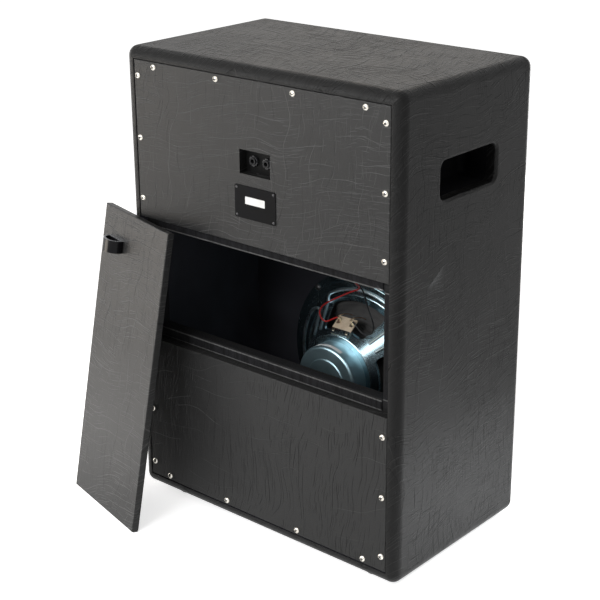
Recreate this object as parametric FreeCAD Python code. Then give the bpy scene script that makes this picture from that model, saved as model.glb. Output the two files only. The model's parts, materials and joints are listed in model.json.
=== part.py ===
"""Guitar speaker cabinet: a vinyl-covered case with two stacked loudspeakers and a removable back panel.

Millimetres. +Z is up, +Y points to the rear, the floor is z = 0, and the origin lies on the floor
under the middle of the case. The removable panel is off and leans on the case's rear right edge.
Left and right are as seen from the front.
"""
import FreeCAD
import Part
import math
import os
from FreeCAD import Placement, Rotation, Vector

# Case
CASE_W = 530.0
CASE_D = 318.0
CASE_EDGE_R = 16.0
VINYL_T = 1.0
BOARD_T = 17.0

# Feet
FOOT_H = 12.0
FOOT_TOP_R = 17.0
FOOT_BOTTOM_R = 15.0
FOOT_FROM_SIDE = 66.0
FOOT_FROM_FACE = 39.0
FOOT_POCKET_R = 6.0
FOOT_POCKET_DEPTH = 6.0
FOOT_EDGE_R = 1.5

# Front: grille and baffle
GRILLE_SETBACK = 15.0
GRILLE_FIT = 1.5
GRILLE_FRAME_T = 12.0
GRILLE_BAR_W = 36.0
CLOTH_T = 1.2
BAFFLE_T = 18.0
BAFFLE_HOUSING = 6.0
BAFFLE_HOLE_FIT = 3.0
SPEAKER_GAP = 25.0
SPEAKER_FROM_BOARD = 30.5

# Back panels, battens and rails
PANEL_T = 15.0
PANEL_RECESS = 0.5
PANEL_FIT = 1.0
BATTEN = 20.0
RAIL_H = 40.0
RAIL_LIP = 19.0
PANEL_EDGE_R = 1.5

# Removable panel, its tapes and where it leans
DOOR_H = 200.0
DOOR_T = 10.4
DOOR_FIT = 1.0
TAPE_W = 16.0
TAPE_INSET = 1.5
LEAN_DEG = 10.2
LEAN_YAW_DEG = 14.6
LEAN_ALONG = 187.0
LEAN_CLEARANCE = 0.3

# Pull loop on the removable panel
PULL_CHORD = 47.0
PULL_RISE = 22.0
PULL_WIDTH = 20.0
PULL_BAND_T = 3.0
PULL_FROM_EDGE = 22.0
PULL_FROM_TOP = 47.0
PULL_CROWN_W = 24.4
PULL_CROWN_SHIFT = 5.6
PULL_CROWN_R = 13.0
PULL_ROOT_R = 0.6
PULL_SCREW_SPACING = 18.8

# Jack plate, sockets and nuts
JACK_CUT_W = 60.0
JACK_CUT_H = 36.5
JACK_Z_BELOW_TOP = 141.7
JACK_PLATE_W = 84.0
JACK_PLATE_H = 60.0
JACK_PLATE_T = 2.0
JACK_SPACING = 26.0
JACK_BUSH_R = 5.7
JACK_BUSH_OUT = 6.0
JACK_BORE_R = 3.25
JACK_BODY_W = 20.0
JACK_BODY_H = 18.0
JACK_BODY_L = 24.0
JACK_END_WALL = 2.0
JACK_NUT_R = 8.0
JACK_NUT_T = 4.0
JACK_NUT_NOTCHES = 6
JACK_NOTCH_R = 1.3
JACK_FIT = 0.05

# Rating plate
PLATE_W = 80.0
PLATE_H = 50.0
PLATE_T = 1.0
PLATE_CORNER_R = 3.0
PLATE_Z_BELOW_TOP = 202.5
RIVET_INSET = 4.0

# Side handles
HANDLE_W = 136.0
HANDLE_H = 57.0
HANDLE_CORNER_R = 12.0
HANDLE_RIM_R = 5.0
HANDLE_Z_BELOW_TOP = 140.0
CUP_T = 2.5
CUP_DEPTH = 45.0
CUP_FLANGE = 12.0
CUP_FLOOR_R = 11.4

# Loudspeakers: widths go outwards from the coil and magnet, depths lie behind the baffle's rear face
GASKET_T = 4.0
FRAME_T = 2.0
FLANGE_W = 16.5
STEP_W = 24.0
FLANK_W = 46.0
HUB_RIM_W = 9.8
FRAME_STEP_DEPTH = 16.0
HUB_DEPTH = 82.0
HUB_HOLE_W = 2.7
FRAME_BEND_R = 5.0
FRAME_CORNER_R = 1.0
WINDOW_COUNT = 4
WINDOW_HALF_DEG = 31.0
WINDOW_FROM_HUB = 8.0
WINDOW_FROM_RING = 4.0
WINDOW_CORNER_R = 8.0
CONE_T = 1.5
CONE_EDGE_W = 12.0
CONE_EDGE_DEPTH = 4.0
NECK_ABOVE_SPIDER = 8.0
EDGE_WAVES = 3
EDGE_WAVE_H = 1.6
CAP_R = 40.0
CAP_RISE = 13.0
COIL_R = 25.5
FORMER_T = 0.5
FORMER_ABOVE_NECK = 3.0
WINDING_T = 0.8
WINDING_L = 10.0
COIL_GAP = 1.0
SPIDER_ABOVE_HUB = 16.0
SPIDER_T = 1.2
SPIDER_WAVES = 5
SPIDER_WAVE_H = 2.0
MOVING_FIT = 0.3
GLUE_FIT = 0.05
TOP_PLATE_INSET = 2.0
TOP_PLATE_T = 7.0
MAGNET_R = 56.0
MAGNET_T = 16.0
MAGNET_HOLE_W = 4.7
BACK_PLATE_T = 7.0
COVER_T = 1.0
COVER_FIT = 1.2
COVER_EDGE_R = 5.0
COVER_DISC_R = 36.0
COVER_DISC_H = 1.5
COVER_DISC_EDGE_R = 0.6
BOLT_FROM_RIM = 6.0
BOLT_COUNT = 4

# Terminal strips
STRIP_W = 38.0
STRIP_L = 34.0
STRIP_T = 1.6
STRIP_START = 2.0
STRIP_CORNER_R = 2.0
LUG_SPACING = 26.5
LUG_ALONG = 27.0
LUG_W = 6.0
LUG_FOOT_L = 8.0
LUG_TAB_H = 9.0
LUG_T = 0.8
LUG_WIRE_H = 5.8
STRIP_RIVET_SPACING = 27.5
STRIP_RIVET_ALONG = 6.0

# Wires and tinsel leads
WIRE_D = 2.5
WIRE_SPACING = 8.0
WIRE_LEAD_OUT = 10.0
WIRE_SOLDERED = 0.5
TINSEL_D = 1.2
TINSEL_FROM_HUB = 16.0
TINSEL_BEND_SHARE = 0.45
ARC_SHARE = 0.45

# Fasteners: head radius, head height, shank radius, shank length
PANEL_SCREW = (5.0, 3.4, 2.2, 31.0)
FOOT_SCREW = (4.5, 3.0, 2.2, 15.0)
CUP_SCREW = (3.5, 2.4, 1.6, 14.0)
JACK_SCREW = (3.0, 2.0, 1.4, 11.0)
PULL_SCREW = (3.5, 2.2, 1.6, 11.0)
SPEAKER_SCREW = (5.5, 3.6, 2.4, 20.0)
PLATE_RIVET = (2.0, 0.9, 1.0, 6.0)
STRIP_RIVET = (3.5, 1.2, 1.8, 6.5)
SCREW_FIT = 0.05
HEAD_EDGE_SHARE = 0.3
RECESS_LENGTH_SHARE = 0.55
RECESS_WIDTH_SHARE = 0.12
RECESS_DEPTH_SHARE = 0.55

# Screw rows on each fixed back panel
PANEL_SCREW_EDGE = 8.0
PANEL_ROW_INNER_X = 74.0
PANEL_ROW_CORNER = 42.5
PANEL_COLUMN_FIRST = 24.5
PANEL_COLUMN_LAST = 31.5
PANEL_COLUMN_COUNT = 3

# Speaker radii and depths worked out from the sizes above
POLE_R = COIL_R - FORMER_T - COIL_GAP
TOP_PLATE_HOLE_R = COIL_R + WINDING_T + COIL_GAP
MAGNET_HOLE_R = TOP_PLATE_HOLE_R + MAGNET_HOLE_W
HUB_HOLE_R = TOP_PLATE_HOLE_R + HUB_HOLE_W
TOP_PLATE_R = MAGNET_R - TOP_PLATE_INSET
COVER_R = MAGNET_R + COVER_FIT + COVER_T
BACK_PLATE_R = COVER_R - COVER_EDGE_R
HUB_R = COVER_R + HUB_RIM_W
FRAME_RING_R = HUB_R + FLANK_W
FRAME_WALL_R = FRAME_RING_R + STEP_W
FLANGE_R = FRAME_WALL_R + FLANGE_W
BOLT_CIRCLE_R = FLANGE_R - BOLT_FROM_RIM
SPEAKER_HOLE_R = FRAME_WALL_R + BAFFLE_HOLE_FIT
WINDOW_INNER_R = HUB_R + WINDOW_FROM_HUB
WINDOW_OUTER_R = FRAME_RING_R - WINDOW_FROM_RING
CONE_EDGE_R = FRAME_WALL_R - CONE_EDGE_W
SPIDER_DEPTH = HUB_DEPTH - SPIDER_ABOVE_HUB
CONE_NECK_DEPTH = SPIDER_DEPTH - NECK_ABOVE_SPIDER
MAGNET_DEPTH = HUB_DEPTH + TOP_PLATE_T
BACK_PLATE_DEPTH = MAGNET_DEPTH + MAGNET_T
COVER_DEPTH = BACK_PLATE_DEPTH + BACK_PLATE_T
WINDING_DEPTH = HUB_DEPTH + (TOP_PLATE_T - WINDING_L) / 2
TINSEL_START_R = HUB_R + TINSEL_FROM_HUB

# Case places worked out from the sizes above
WALL = VINYL_T + BOARD_T
SPEAKER_PITCH = 2 * FLANGE_R + SPEAKER_GAP
INNER_W = CASE_W - 2 * WALL
INNER_H = SPEAKER_PITCH + 2 * (FLANGE_R + SPEAKER_FROM_BOARD)
CASE_H = INNER_H + 2 * WALL
CASE_Z0 = FOOT_H
CASE_Z1 = FOOT_H + CASE_H
CASE_ZM = FOOT_H + CASE_H / 2
SPEAKER_Z = {"upper": CASE_ZM + SPEAKER_PITCH / 2, "lower": CASE_ZM - SPEAKER_PITCH / 2}
INNER_Z0 = CASE_Z0 + WALL
INNER_Z1 = CASE_Z1 - WALL
FRONT_Y = -CASE_D / 2
REAR_Y = CASE_D / 2
FOOT_X = CASE_W / 2 - FOOT_FROM_SIDE
FOOT_Y = CASE_D / 2 - FOOT_FROM_FACE
GRILLE_Y0 = FRONT_Y + GRILLE_SETBACK
GRILLE_Y1 = GRILLE_Y0 + CLOTH_T
BAFFLE_Y0 = GRILLE_Y1 + GRILLE_FRAME_T
BAFFLE_Y1 = BAFFLE_Y0 + BAFFLE_T
PANEL_Y1 = REAR_Y - PANEL_RECESS
PANEL_Y0 = PANEL_Y1 - PANEL_T
BATTEN_Y0 = PANEL_Y0 - BATTEN
TAPE_T = (PANEL_T - DOOR_T) / 2
OPENING_H = DOOR_H + 2 * DOOR_FIT
OPENING_Z0 = CASE_ZM - OPENING_H / 2
OPENING_Z1 = CASE_ZM + OPENING_H / 2
PANEL_W = INNER_W - 2 * PANEL_FIT
PANEL_H = INNER_Z1 - PANEL_FIT - OPENING_Z1
PANEL_COLUMN_PITCH = (PANEL_H - PANEL_COLUMN_FIRST - PANEL_COLUMN_LAST) / (PANEL_COLUMN_COUNT - 1)
DOOR_W = PANEL_W - DOOR_FIT
JACK_Z = CASE_Z1 - JACK_Z_BELOW_TOP
JACK_PLATE_Y0 = PANEL_Y0 - JACK_PLATE_T
JACK_BODY_Y0 = JACK_PLATE_Y0 - JACK_BODY_L
PLATE_Z = CASE_Z1 - PLATE_Z_BELOW_TOP
HANDLE_Z = CASE_Z1 - HANDLE_Z_BELOW_TOP
UP = Vector(0, 0, 1)
REAR = Vector(0, 1, 0)
TOUCH = 1e-3
SIDES = {"left": -1, "right": 1}


# Helpers

def box(x0, x1, y0, y1, z0, z1):
    """A box between two corners."""
    return Part.makeBox(x1 - x0, y1 - y0, z1 - z0, Vector(x0, y0, z0))


def centred_box(width, y0, y1, z0, z1):
    """A box that is centred on x = 0."""
    return box(-width / 2, width / 2, y0, y1, z0, z1)


def moved(shape, position, direction=UP):
    """A copy whose own +Z points along direction and whose origin lies at position."""
    copy = shape.copy()
    copy.Placement = Placement(Vector(*position), Rotation(UP, Vector(*direction)))
    return copy


def group(shapes):
    return Part.makeCompound(list(shapes))


def edge_rounded(block, y):
    """Rounds a board's edges around its face at y."""
    edges = [e for e in block.Edges
             if e.BoundBox.YLength < TOUCH and abs(e.BoundBox.YMin - y) < TOUCH]
    return block.makeFillet(PANEL_EDGE_R, edges)


def cut_all(shape, tools):
    return shape.cut(list(tools))


def rounded_wire(corners, to_vector):
    """A closed outline through (a, b, radius) corners, each rounded to its radius."""
    count = len(corners)
    arcs = []
    for i, (a, b, radius) in enumerate(corners):
        corner = Vector(a, b, 0)
        before = (Vector(*corners[i - 1][:2], 0) - corner).normalize()
        after = (Vector(*corners[(i + 1) % count][:2], 0) - corner).normalize()
        half = before.getAngle(after) / 2
        reach = radius / math.tan(half) if radius else 0.0
        middle = corner
        if radius:
            inward = (before + after).normalize()
            middle = corner + inward * (radius / math.sin(half) - radius)
        arcs.append((corner + before * reach, middle, corner + after * reach))
    edges = []
    for i, (start, middle, end) in enumerate(arcs):
        if corners[i][2]:
            edges.append(Part.Arc(to_vector(start), to_vector(middle), to_vector(end)).toShape())
        following = arcs[(i + 1) % count][0]
        if (following - end).Length > TOUCH:
            edges.append(Part.LineSegment(to_vector(end), to_vector(following)).toShape())
    return Part.Wire(edges)


def revolved(corners):
    """A solid of revolution about Z from (radius, height, corner radius) corners."""
    wire = rounded_wire(corners, lambda v: Vector(v.x, 0, v.y))
    return Part.Face(wire).revolve(Vector(0, 0, 0), UP, 360)


def tube(outer_r, inner_r, z0, z1):
    """A plain ring about Z."""
    outer = Part.makeCylinder(outer_r, z1 - z0, Vector(0, 0, z0))
    return outer.cut(Part.makeCylinder(inner_r, z1 - z0, Vector(0, 0, z0)))


def rounded_rect_yz(width, height, radius, x0, x1, z):
    """A rounded rectangle in the YZ plane, extruded along X."""
    w, h = width / 2, height / 2
    corners = [(-w, -h, radius), (w, -h, radius), (w, h, radius), (-w, h, radius)]
    wire = rounded_wire(corners, lambda v: Vector(x0, v.x, z + v.y))
    return Part.Face(wire).extrude(Vector(x1 - x0, 0, 0))


def dome(radius, height):
    """A shallow domed head on a short cylindrical edge, standing on z = 0."""
    edge = HEAD_EDGE_SHARE * height
    rise = height - edge
    sphere_r = (radius ** 2 + rise ** 2) / (2 * rise)
    half = math.asin(radius / sphere_r) / 2
    middle = Vector(sphere_r * math.sin(half), 0, height - sphere_r + sphere_r * math.cos(half))
    arc = Part.Arc(Vector(radius, 0, edge), middle, Vector(0, 0, height)).toShape()
    corners = [Vector(0, 0, height), Vector(), Vector(radius, 0, 0), Vector(radius, 0, edge)]
    lines = Part.makePolygon(corners)
    return Part.Face(Part.Wire([arc] + lines.Edges)).revolve(Vector(), UP, 360)


def rivet(size):
    """A domed head on z = 0 with its shank below."""
    head_r, head_h, shank_r, shank_l = size
    return dome(head_r, head_h).fuse(Part.makeCylinder(shank_r, shank_l, Vector(0, 0, -shank_l)))


def screw(size):
    """A domed screw with a cross recess in its head."""
    head_r, head_h = size[:2]
    slot_l = RECESS_LENGTH_SHARE * head_r
    slot_w = RECESS_WIDTH_SHARE * head_r
    floor = head_h - RECESS_DEPTH_SHARE * head_h
    cross = box(-slot_l, slot_l, -slot_w, slot_w, floor, head_h)
    cross = cross.fuse(box(-slot_w, slot_w, -slot_l, slot_l, floor, head_h))
    return rivet(size).cut(cross)


def screw_hole(size):
    """What a fastener's shank needs, with its fit."""
    shank_r, shank_l = size[2] + SCREW_FIT, size[3] + SCREW_FIT
    return Part.makeCylinder(shank_r, shank_l, Vector(0, 0, -shank_l))


def cord(points, diameter, name):
    """A round cord along straight runs joined by arcs as large as the runs allow."""
    points = [Vector(*p) for p in points]
    edges = []
    start = points[0]
    radii = []
    for before, corner, after in zip(points, points[1:], points[2:]):
        inward = (before - corner).normalize()
        outward = (after - corner).normalize()
        half_turn = (math.pi - inward.getAngle(outward)) / 2
        reach = ARC_SHARE * min((before - corner).Length, (after - corner).Length)
        radius = reach / math.tan(half_turn)
        sagitta = radius / math.cos(half_turn) - radius
        middle = corner + (inward + outward).normalize() * sagitta
        arc_start, arc_end = corner + inward * reach, corner + outward * reach
        edges.append(Part.LineSegment(start, arc_start).toShape())
        edges.append(Part.Arc(arc_start, middle, arc_end).toShape())
        start = arc_end
        radii.append(radius)
    edges.append(Part.LineSegment(start, points[-1]).toShape())
    path = Part.Wire(edges)
    circle = Part.Wire(Part.makeCircle(diameter / 2, points[0], points[1] - points[0]))
    solid = path.makePipeShell([circle], True, False)
    expected = math.pi * (diameter / 2) ** 2 * path.Length
    print(f"{name}: length {path.Length:.1f}, least radius {min(radii):.1f}, "
          f"volume over section times length {solid.Volume / expected:.4f}")
    return solid


def wavy_band(start_r, end_r, depth, waves, height, thickness):
    """Corners of a corrugated band: its near side outwards and its far side back again."""
    steps = 2 * waves
    near = []
    for i in range(steps + 1):
        lift = height if i % 2 else 0.0
        near.append((start_r + (end_r - start_r) * i / steps, depth + lift))
    far = [(r, d + thickness) for r, d in reversed(near)]
    return near, far


# Case boards and covering

def handle_cut(extra, reach):
    """The two hand holes in the sides, grown by extra."""
    tools = []
    for sign in SIDES.values():
        near, far = sign * (CASE_W / 2 - reach), sign * CASE_W
        tools.append(rounded_rect_yz(HANDLE_W + 2 * extra, HANDLE_H + 2 * extra,
                                     HANDLE_CORNER_R + extra, near, far, HANDLE_Z))
    return tools


def rounded_case(inset):
    """The case as one solid block, inset from its outer surface, with its hand holes."""
    block = box(-CASE_W / 2 + inset, CASE_W / 2 - inset, FRONT_Y + inset, REAR_Y - inset,
                CASE_Z0 + inset, CASE_Z1 - inset)
    block = block.makeFillet(CASE_EDGE_R - inset, block.Edges)
    block = cut_all(block, handle_cut(inset, WALL + BAFFLE_HOUSING))
    face_x = CASE_W / 2 - inset
    rim = []
    for edge in block.Edges:
        bounds = edge.BoundBox
        on_face = bounds.XLength < TOUCH and abs(abs(bounds.XMin) - face_x) < TOUCH
        if on_face and max(abs(bounds.YMin), abs(bounds.YMax)) < HANDLE_W / 2 + inset + TOUCH:
            rim.append(edge)
    return block.makeFillet(HANDLE_RIM_R - inset, rim)


def tunnel():
    """The space inside the boards, open at the front and the rear."""
    return centred_box(INNER_W, -CASE_D, CASE_D, INNER_Z0, INNER_Z1)


def baffle_blank():
    return centred_box(INNER_W + 2 * BAFFLE_HOUSING, BAFFLE_Y0, BAFFLE_Y1,
                       INNER_Z0 - BAFFLE_HOUSING, INNER_Z1 + BAFFLE_HOUSING)


def foot_places():
    return [(x, y) for x in (-FOOT_X, FOOT_X) for y in (-FOOT_Y, FOOT_Y)]


def foot_screw_places():
    """Screw heads sit on the floor of each foot's pocket and point down."""
    return [(x, y, FOOT_POCKET_DEPTH) for x, y in foot_places()]


def cup_screw_places(sign):
    """The four corners of a handle cup's flange, on its inner face."""
    reach_y = HANDLE_W / 2 + CUP_T + CUP_FLANGE / 2
    reach_z = HANDLE_H / 2 + CUP_T + CUP_FLANGE / 2
    x = sign * (INNER_W / 2 - CUP_T)
    return [(x, y, HANDLE_Z + z) for y in (-reach_y, reach_y) for z in (-reach_z, reach_z)]


def case_holes():
    """Pilot holes for the foot screws and the cup screws."""
    tools = [moved(screw_hole(FOOT_SCREW), p, (0, 0, -1)) for p in foot_screw_places()]
    for sign in SIDES.values():
        for place in cup_screw_places(sign):
            tools.append(moved(screw_hole(CUP_SCREW), place, (-sign, 0, 0)))
    return tools


def build_case(nodes):
    outer = rounded_case(0.0)
    core = rounded_case(VINYL_T)
    nodes["vinyl_covering"] = cut_all(outer, [core, tunnel()] + case_holes())
    shell = cut_all(core, [tunnel(), baffle_blank()] + case_holes())
    nodes["top_board"] = shell.common(centred_box(CASE_W, FRONT_Y, REAR_Y, INNER_Z1, CASE_Z1))
    nodes["bottom_board"] = shell.common(centred_box(CASE_W, FRONT_Y, REAR_Y, CASE_Z0, INNER_Z0))
    for side, sign in SIDES.items():
        x0, x1 = sorted((sign * INNER_W / 2, sign * CASE_W / 2))
        nodes[f"{side}_side_board"] = shell.common(box(x0, x1, FRONT_Y, REAR_Y, INNER_Z0, INNER_Z1))


def build_feet(nodes):
    profile = [(0, 0, 0), (FOOT_BOTTOM_R, 0, FOOT_EDGE_R), (FOOT_TOP_R, FOOT_H, 0), (0, FOOT_H, 0)]
    pocket = Part.makeCylinder(FOOT_POCKET_R, FOOT_POCKET_DEPTH)
    hole = moved(screw_hole(FOOT_SCREW), (0, 0, FOOT_POCKET_DEPTH), (0, 0, -1))
    foot = cut_all(revolved(profile), [pocket, hole])
    nodes["rubber_feet"] = group(moved(foot, (x, y, 0)) for x, y in foot_places())
    nodes["foot_screws"] = group(moved(screw(FOOT_SCREW), p, (0, 0, -1)) for p in foot_screw_places())


# Side handles

def handle_cup(sign):
    """A moulded pocket behind a hand hole, with a flange against the side board."""
    face = sign * INNER_W / 2
    flange_in = face - sign * CUP_T
    floor_in = face - sign * CUP_DEPTH
    floor_out = floor_in - sign * CUP_T
    border = 2 * (CUP_T + CUP_FLANGE)
    flange = rounded_rect_yz(HANDLE_W + border, HANDLE_H + border, HANDLE_CORNER_R,
                             face, flange_in, HANDLE_Z)
    shell = rounded_rect_yz(HANDLE_W + 2 * CUP_T, HANDLE_H + 2 * CUP_T, HANDLE_CORNER_R + CUP_T,
                            face, floor_out, HANDLE_Z)
    pocket = rounded_rect_yz(HANDLE_W, HANDLE_H, HANDLE_CORNER_R, face, floor_in, HANDLE_Z)
    shell = round_floor(shell, floor_out, CUP_FLOOR_R + CUP_T)
    pocket = round_floor(pocket, floor_in, CUP_FLOOR_R)
    holes = [moved(screw_hole(CUP_SCREW), p, (-sign, 0, 0)) for p in cup_screw_places(sign)]
    return cut_all(flange.fuse(shell), [pocket] + holes).removeSplitter()


def round_floor(block, floor_x, radius):
    """Rounds the edges of a block's end face at floor_x."""
    edges = [e for e in block.Edges
             if e.BoundBox.XLength < TOUCH and abs(e.BoundBox.XMin - floor_x) < TOUCH]
    return block.makeFillet(radius, edges)


def build_handles(nodes):
    screws = []
    for side, sign in SIDES.items():
        nodes[f"{side}_handle_cup"] = handle_cup(sign)
        for place in cup_screw_places(sign):
            screws.append(moved(screw(CUP_SCREW), place, (-sign, 0, 0)))
    nodes["handle_cup_screws"] = group(screws)


# Front baffle and grille

def speaker_screw_places():
    """Screw heads on the rear of both speaker flanges, pointing to the rear."""
    y = BAFFLE_Y1 + GASKET_T + FRAME_T
    return [(x, y, centre_z + z) for centre_z in SPEAKER_Z.values() for x, z in bolt_places()]


def build_front(nodes):
    tools = [moved(Part.makeCylinder(SPEAKER_HOLE_R, BAFFLE_T), (0, BAFFLE_Y0, z), REAR)
             for z in SPEAKER_Z.values()]
    tools += [moved(screw_hole(SPEAKER_SCREW), p, REAR) for p in speaker_screw_places()]
    nodes["front_baffle"] = cut_all(baffle_blank(), tools)
    nodes["speaker_screws"] = group(moved(screw(SPEAKER_SCREW), p, REAR) for p in speaker_screw_places())

    cloth_w = INNER_W - 2 * GRILLE_FIT
    cloth_z0, cloth_z1 = INNER_Z0 + GRILLE_FIT, INNER_Z1 - GRILLE_FIT
    cloth = centred_box(cloth_w, GRILLE_Y0, BAFFLE_Y0, cloth_z0, cloth_z1)
    frame_w = cloth_w - 2 * CLOTH_T
    frame_z0, frame_z1 = cloth_z0 + CLOTH_T, cloth_z1 - CLOTH_T
    blank = centred_box(frame_w, GRILLE_Y1, BAFFLE_Y0, frame_z0, frame_z1)
    nodes["grille_cloth"] = cloth.cut(blank)
    window_w = frame_w - 2 * GRILLE_BAR_W
    half_bar = GRILLE_BAR_W / 2
    upper = centred_box(window_w, GRILLE_Y1, BAFFLE_Y0, CASE_ZM + half_bar, frame_z1 - GRILLE_BAR_W)
    lower = centred_box(window_w, GRILLE_Y1, BAFFLE_Y0, frame_z0 + GRILLE_BAR_W, CASE_ZM - half_bar)
    nodes["grille_frame"] = cut_all(blank, [upper, lower])


# Battens, rails and fixed back panels

def panel_spans():
    """Lower and upper edge of each fixed panel, and the way from its case edge to the opening."""
    return {
        "upper": (OPENING_Z1, OPENING_Z1 + PANEL_H, -1),
        "lower": (OPENING_Z0 - PANEL_H, OPENING_Z0, 1),
    }


def panel_screw_places():
    places = []
    for z0, z1, inward in panel_spans().values():
        case_edge = z1 if inward < 0 else z0
        row_z = case_edge + inward * PANEL_SCREW_EDGE
        for x in (PANEL_ROW_INNER_X, PANEL_W / 2 - PANEL_ROW_CORNER):
            places += [(-x, PANEL_Y1, row_z), (x, PANEL_Y1, row_z)]
        column_x = PANEL_W / 2 - PANEL_SCREW_EDGE
        for i in range(PANEL_COLUMN_COUNT):
            z = case_edge + inward * (PANEL_COLUMN_FIRST + i * PANEL_COLUMN_PITCH)
            places += [(-column_x, PANEL_Y1, z), (column_x, PANEL_Y1, z)]
    return places


def jack_screw_places():
    """The corners of the jack plate, on its inner face."""
    x = (JACK_CUT_W + JACK_PLATE_W) / 4
    z = (JACK_CUT_H + JACK_PLATE_H) / 4
    return [(sx * x, JACK_PLATE_Y0, JACK_Z + sz * z) for sx in (-1, 1) for sz in (-1, 1)]


def plate_rivet_places():
    x = PLATE_W / 2 - RIVET_INSET
    z = PLATE_H / 2 - RIVET_INSET
    y = PANEL_Y1 + PLATE_T
    return [(sx * x, y, PLATE_Z + sz * z) for sx in (-1, 1) for sz in (-1, 1)]


def rail(width, z0, z1):
    """A cross rail with its long edges rounded."""
    block = centred_box(width, BATTEN_Y0, PANEL_Y0, z0, z1)
    return block.makeFillet(PANEL_EDGE_R, [e for e in block.Edges if e.BoundBox.XLength > width / 2])


def build_back(nodes):
    holes = [moved(screw_hole(PANEL_SCREW), p, REAR) for p in panel_screw_places()]
    y0, y1 = BATTEN_Y0, PANEL_Y0
    battens = [
        centred_box(INNER_W, y0, y1, INNER_Z1 - BATTEN, INNER_Z1),
        centred_box(INNER_W, y0, y1, INNER_Z0, INNER_Z0 + BATTEN),
    ]
    for sign in SIDES.values():
        x0, x1 = sorted((sign * INNER_W / 2, sign * (INNER_W / 2 - BATTEN)))
        battens.append(box(x0, x1, y0, y1, INNER_Z0 + BATTEN, INNER_Z1 - BATTEN))
    nodes["rear_battens"] = group(cut_all(b, holes) for b in battens)

    rail_w = INNER_W - 2 * BATTEN
    upper_z0 = OPENING_Z1 - RAIL_LIP
    lower_z1 = OPENING_Z0 + RAIL_LIP
    nodes["upper_rail"] = rail(rail_w, upper_z0, upper_z0 + RAIL_H)
    nodes["lower_rail"] = rail(rail_w, lower_z1 - RAIL_H, lower_z1)

    jack_cut = centred_box(JACK_CUT_W, PANEL_Y0, PANEL_Y1, JACK_Z - JACK_CUT_H / 2, JACK_Z + JACK_CUT_H / 2)
    small = [moved(screw_hole(JACK_SCREW), p, (0, -1, 0)) for p in jack_screw_places()]
    small += [moved(screw_hole(PLATE_RIVET), p, REAR) for p in plate_rivet_places()]
    for name, (z0, z1, _) in panel_spans().items():
        panel = edge_rounded(centred_box(PANEL_W, PANEL_Y0, PANEL_Y1, z0, z1), PANEL_Y1)
        panel = cut_all(panel, holes)
        if name == "upper":
            panel = cut_all(panel, [jack_cut] + small)
        nodes[f"{name}_back_panel"] = panel
    nodes["back_panel_screws"] = group(moved(screw(PANEL_SCREW), p, REAR) for p in panel_screw_places())

    tape_z0, tape_z1 = upper_z0 + TAPE_INSET, lower_z1 - TAPE_INSET
    tape_w = rail_w - 2 * TAPE_INSET
    tapes = [
        centred_box(tape_w, y1, y1 + TAPE_T, tape_z0, tape_z0 + TAPE_W),
        centred_box(tape_w, y1, y1 + TAPE_T, tape_z1 - TAPE_W, tape_z1),
    ]
    for sign in SIDES.values():
        near = sign * (INNER_W / 2 - BATTEN + TAPE_INSET)
        x0, x1 = sorted((near, near + sign * TAPE_W))
        tapes.append(box(x0, x1, y1, y1 + TAPE_T, lower_z1, upper_z0))
    nodes["loop_tapes"] = group(tapes)


# Jacks and rating plate

def build_jacks(nodes):
    y0, y1 = JACK_PLATE_Y0, PANEL_Y0
    plate = centred_box(JACK_PLATE_W, y0, y1, JACK_Z - JACK_PLATE_H / 2, JACK_Z + JACK_PLATE_H / 2)
    tools = [moved(screw_hole(JACK_SCREW), p, (0, -1, 0)) for p in jack_screw_places()]
    bush_l = JACK_PLATE_T + JACK_BUSH_OUT
    nut = tube(JACK_NUT_R, JACK_BUSH_R + JACK_FIT, 0, JACK_NUT_T)
    for i in range(JACK_NUT_NOTCHES):
        notch = Part.makeCylinder(JACK_NOTCH_R, JACK_NUT_T, Vector(JACK_NUT_R, 0, JACK_NUT_T / 2))
        notch.rotate(Vector(), UP, 360 / JACK_NUT_NOTCHES * i)
        nut = nut.cut(notch)
    nuts = []
    for side, sign in SIDES.items():
        x = sign * JACK_SPACING / 2
        body = box(x - JACK_BODY_W / 2, x + JACK_BODY_W / 2, JACK_BODY_Y0, y0,
                   JACK_Z - JACK_BODY_H / 2, JACK_Z + JACK_BODY_H / 2)
        bush = moved(Part.makeCylinder(JACK_BUSH_R, bush_l), (x, y0, JACK_Z), REAR)
        bore_l = JACK_BODY_L - JACK_END_WALL + bush_l
        bore_y0 = JACK_BODY_Y0 + JACK_END_WALL
        bore = moved(Part.makeCylinder(JACK_BORE_R, bore_l), (x, bore_y0, JACK_Z), REAR)
        nodes[f"{side}_jack_socket"] = body.fuse(bush).cut(bore)
        bush_hole = Part.makeCylinder(JACK_BUSH_R + JACK_FIT, JACK_PLATE_T)
        tools.append(moved(bush_hole, (x, y0, JACK_Z), REAR))
        nuts.append(moved(nut, (x, y1, JACK_Z), REAR))
    nodes["jack_plate"] = cut_all(plate, tools)
    nodes["jack_nuts"] = group(nuts)
    nodes["jack_plate_screws"] = group(moved(screw(JACK_SCREW), p, (0, -1, 0)) for p in jack_screw_places())

    w, h = PLATE_W / 2, PLATE_H / 2
    corners = [(x, z, PLATE_CORNER_R) for x, z in ((-w, -h), (w, -h), (w, h), (-w, h))]
    outline = rounded_wire(corners, lambda v: Vector(v.x, PANEL_Y1, PLATE_Z + v.y))
    rating_plate = Part.Face(outline).extrude(Vector(0, PLATE_T, 0))
    rivet_holes = [moved(screw_hole(PLATE_RIVET), p, REAR) for p in plate_rivet_places()]
    nodes["rating_plate"] = cut_all(rating_plate, rivet_holes)
    nodes["rating_plate_rivets"] = group(moved(rivet(PLATE_RIVET), p, REAR) for p in plate_rivet_places())


# Removable panel. Its own frame: x along the short side, y out of the face, z up the long side

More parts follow.
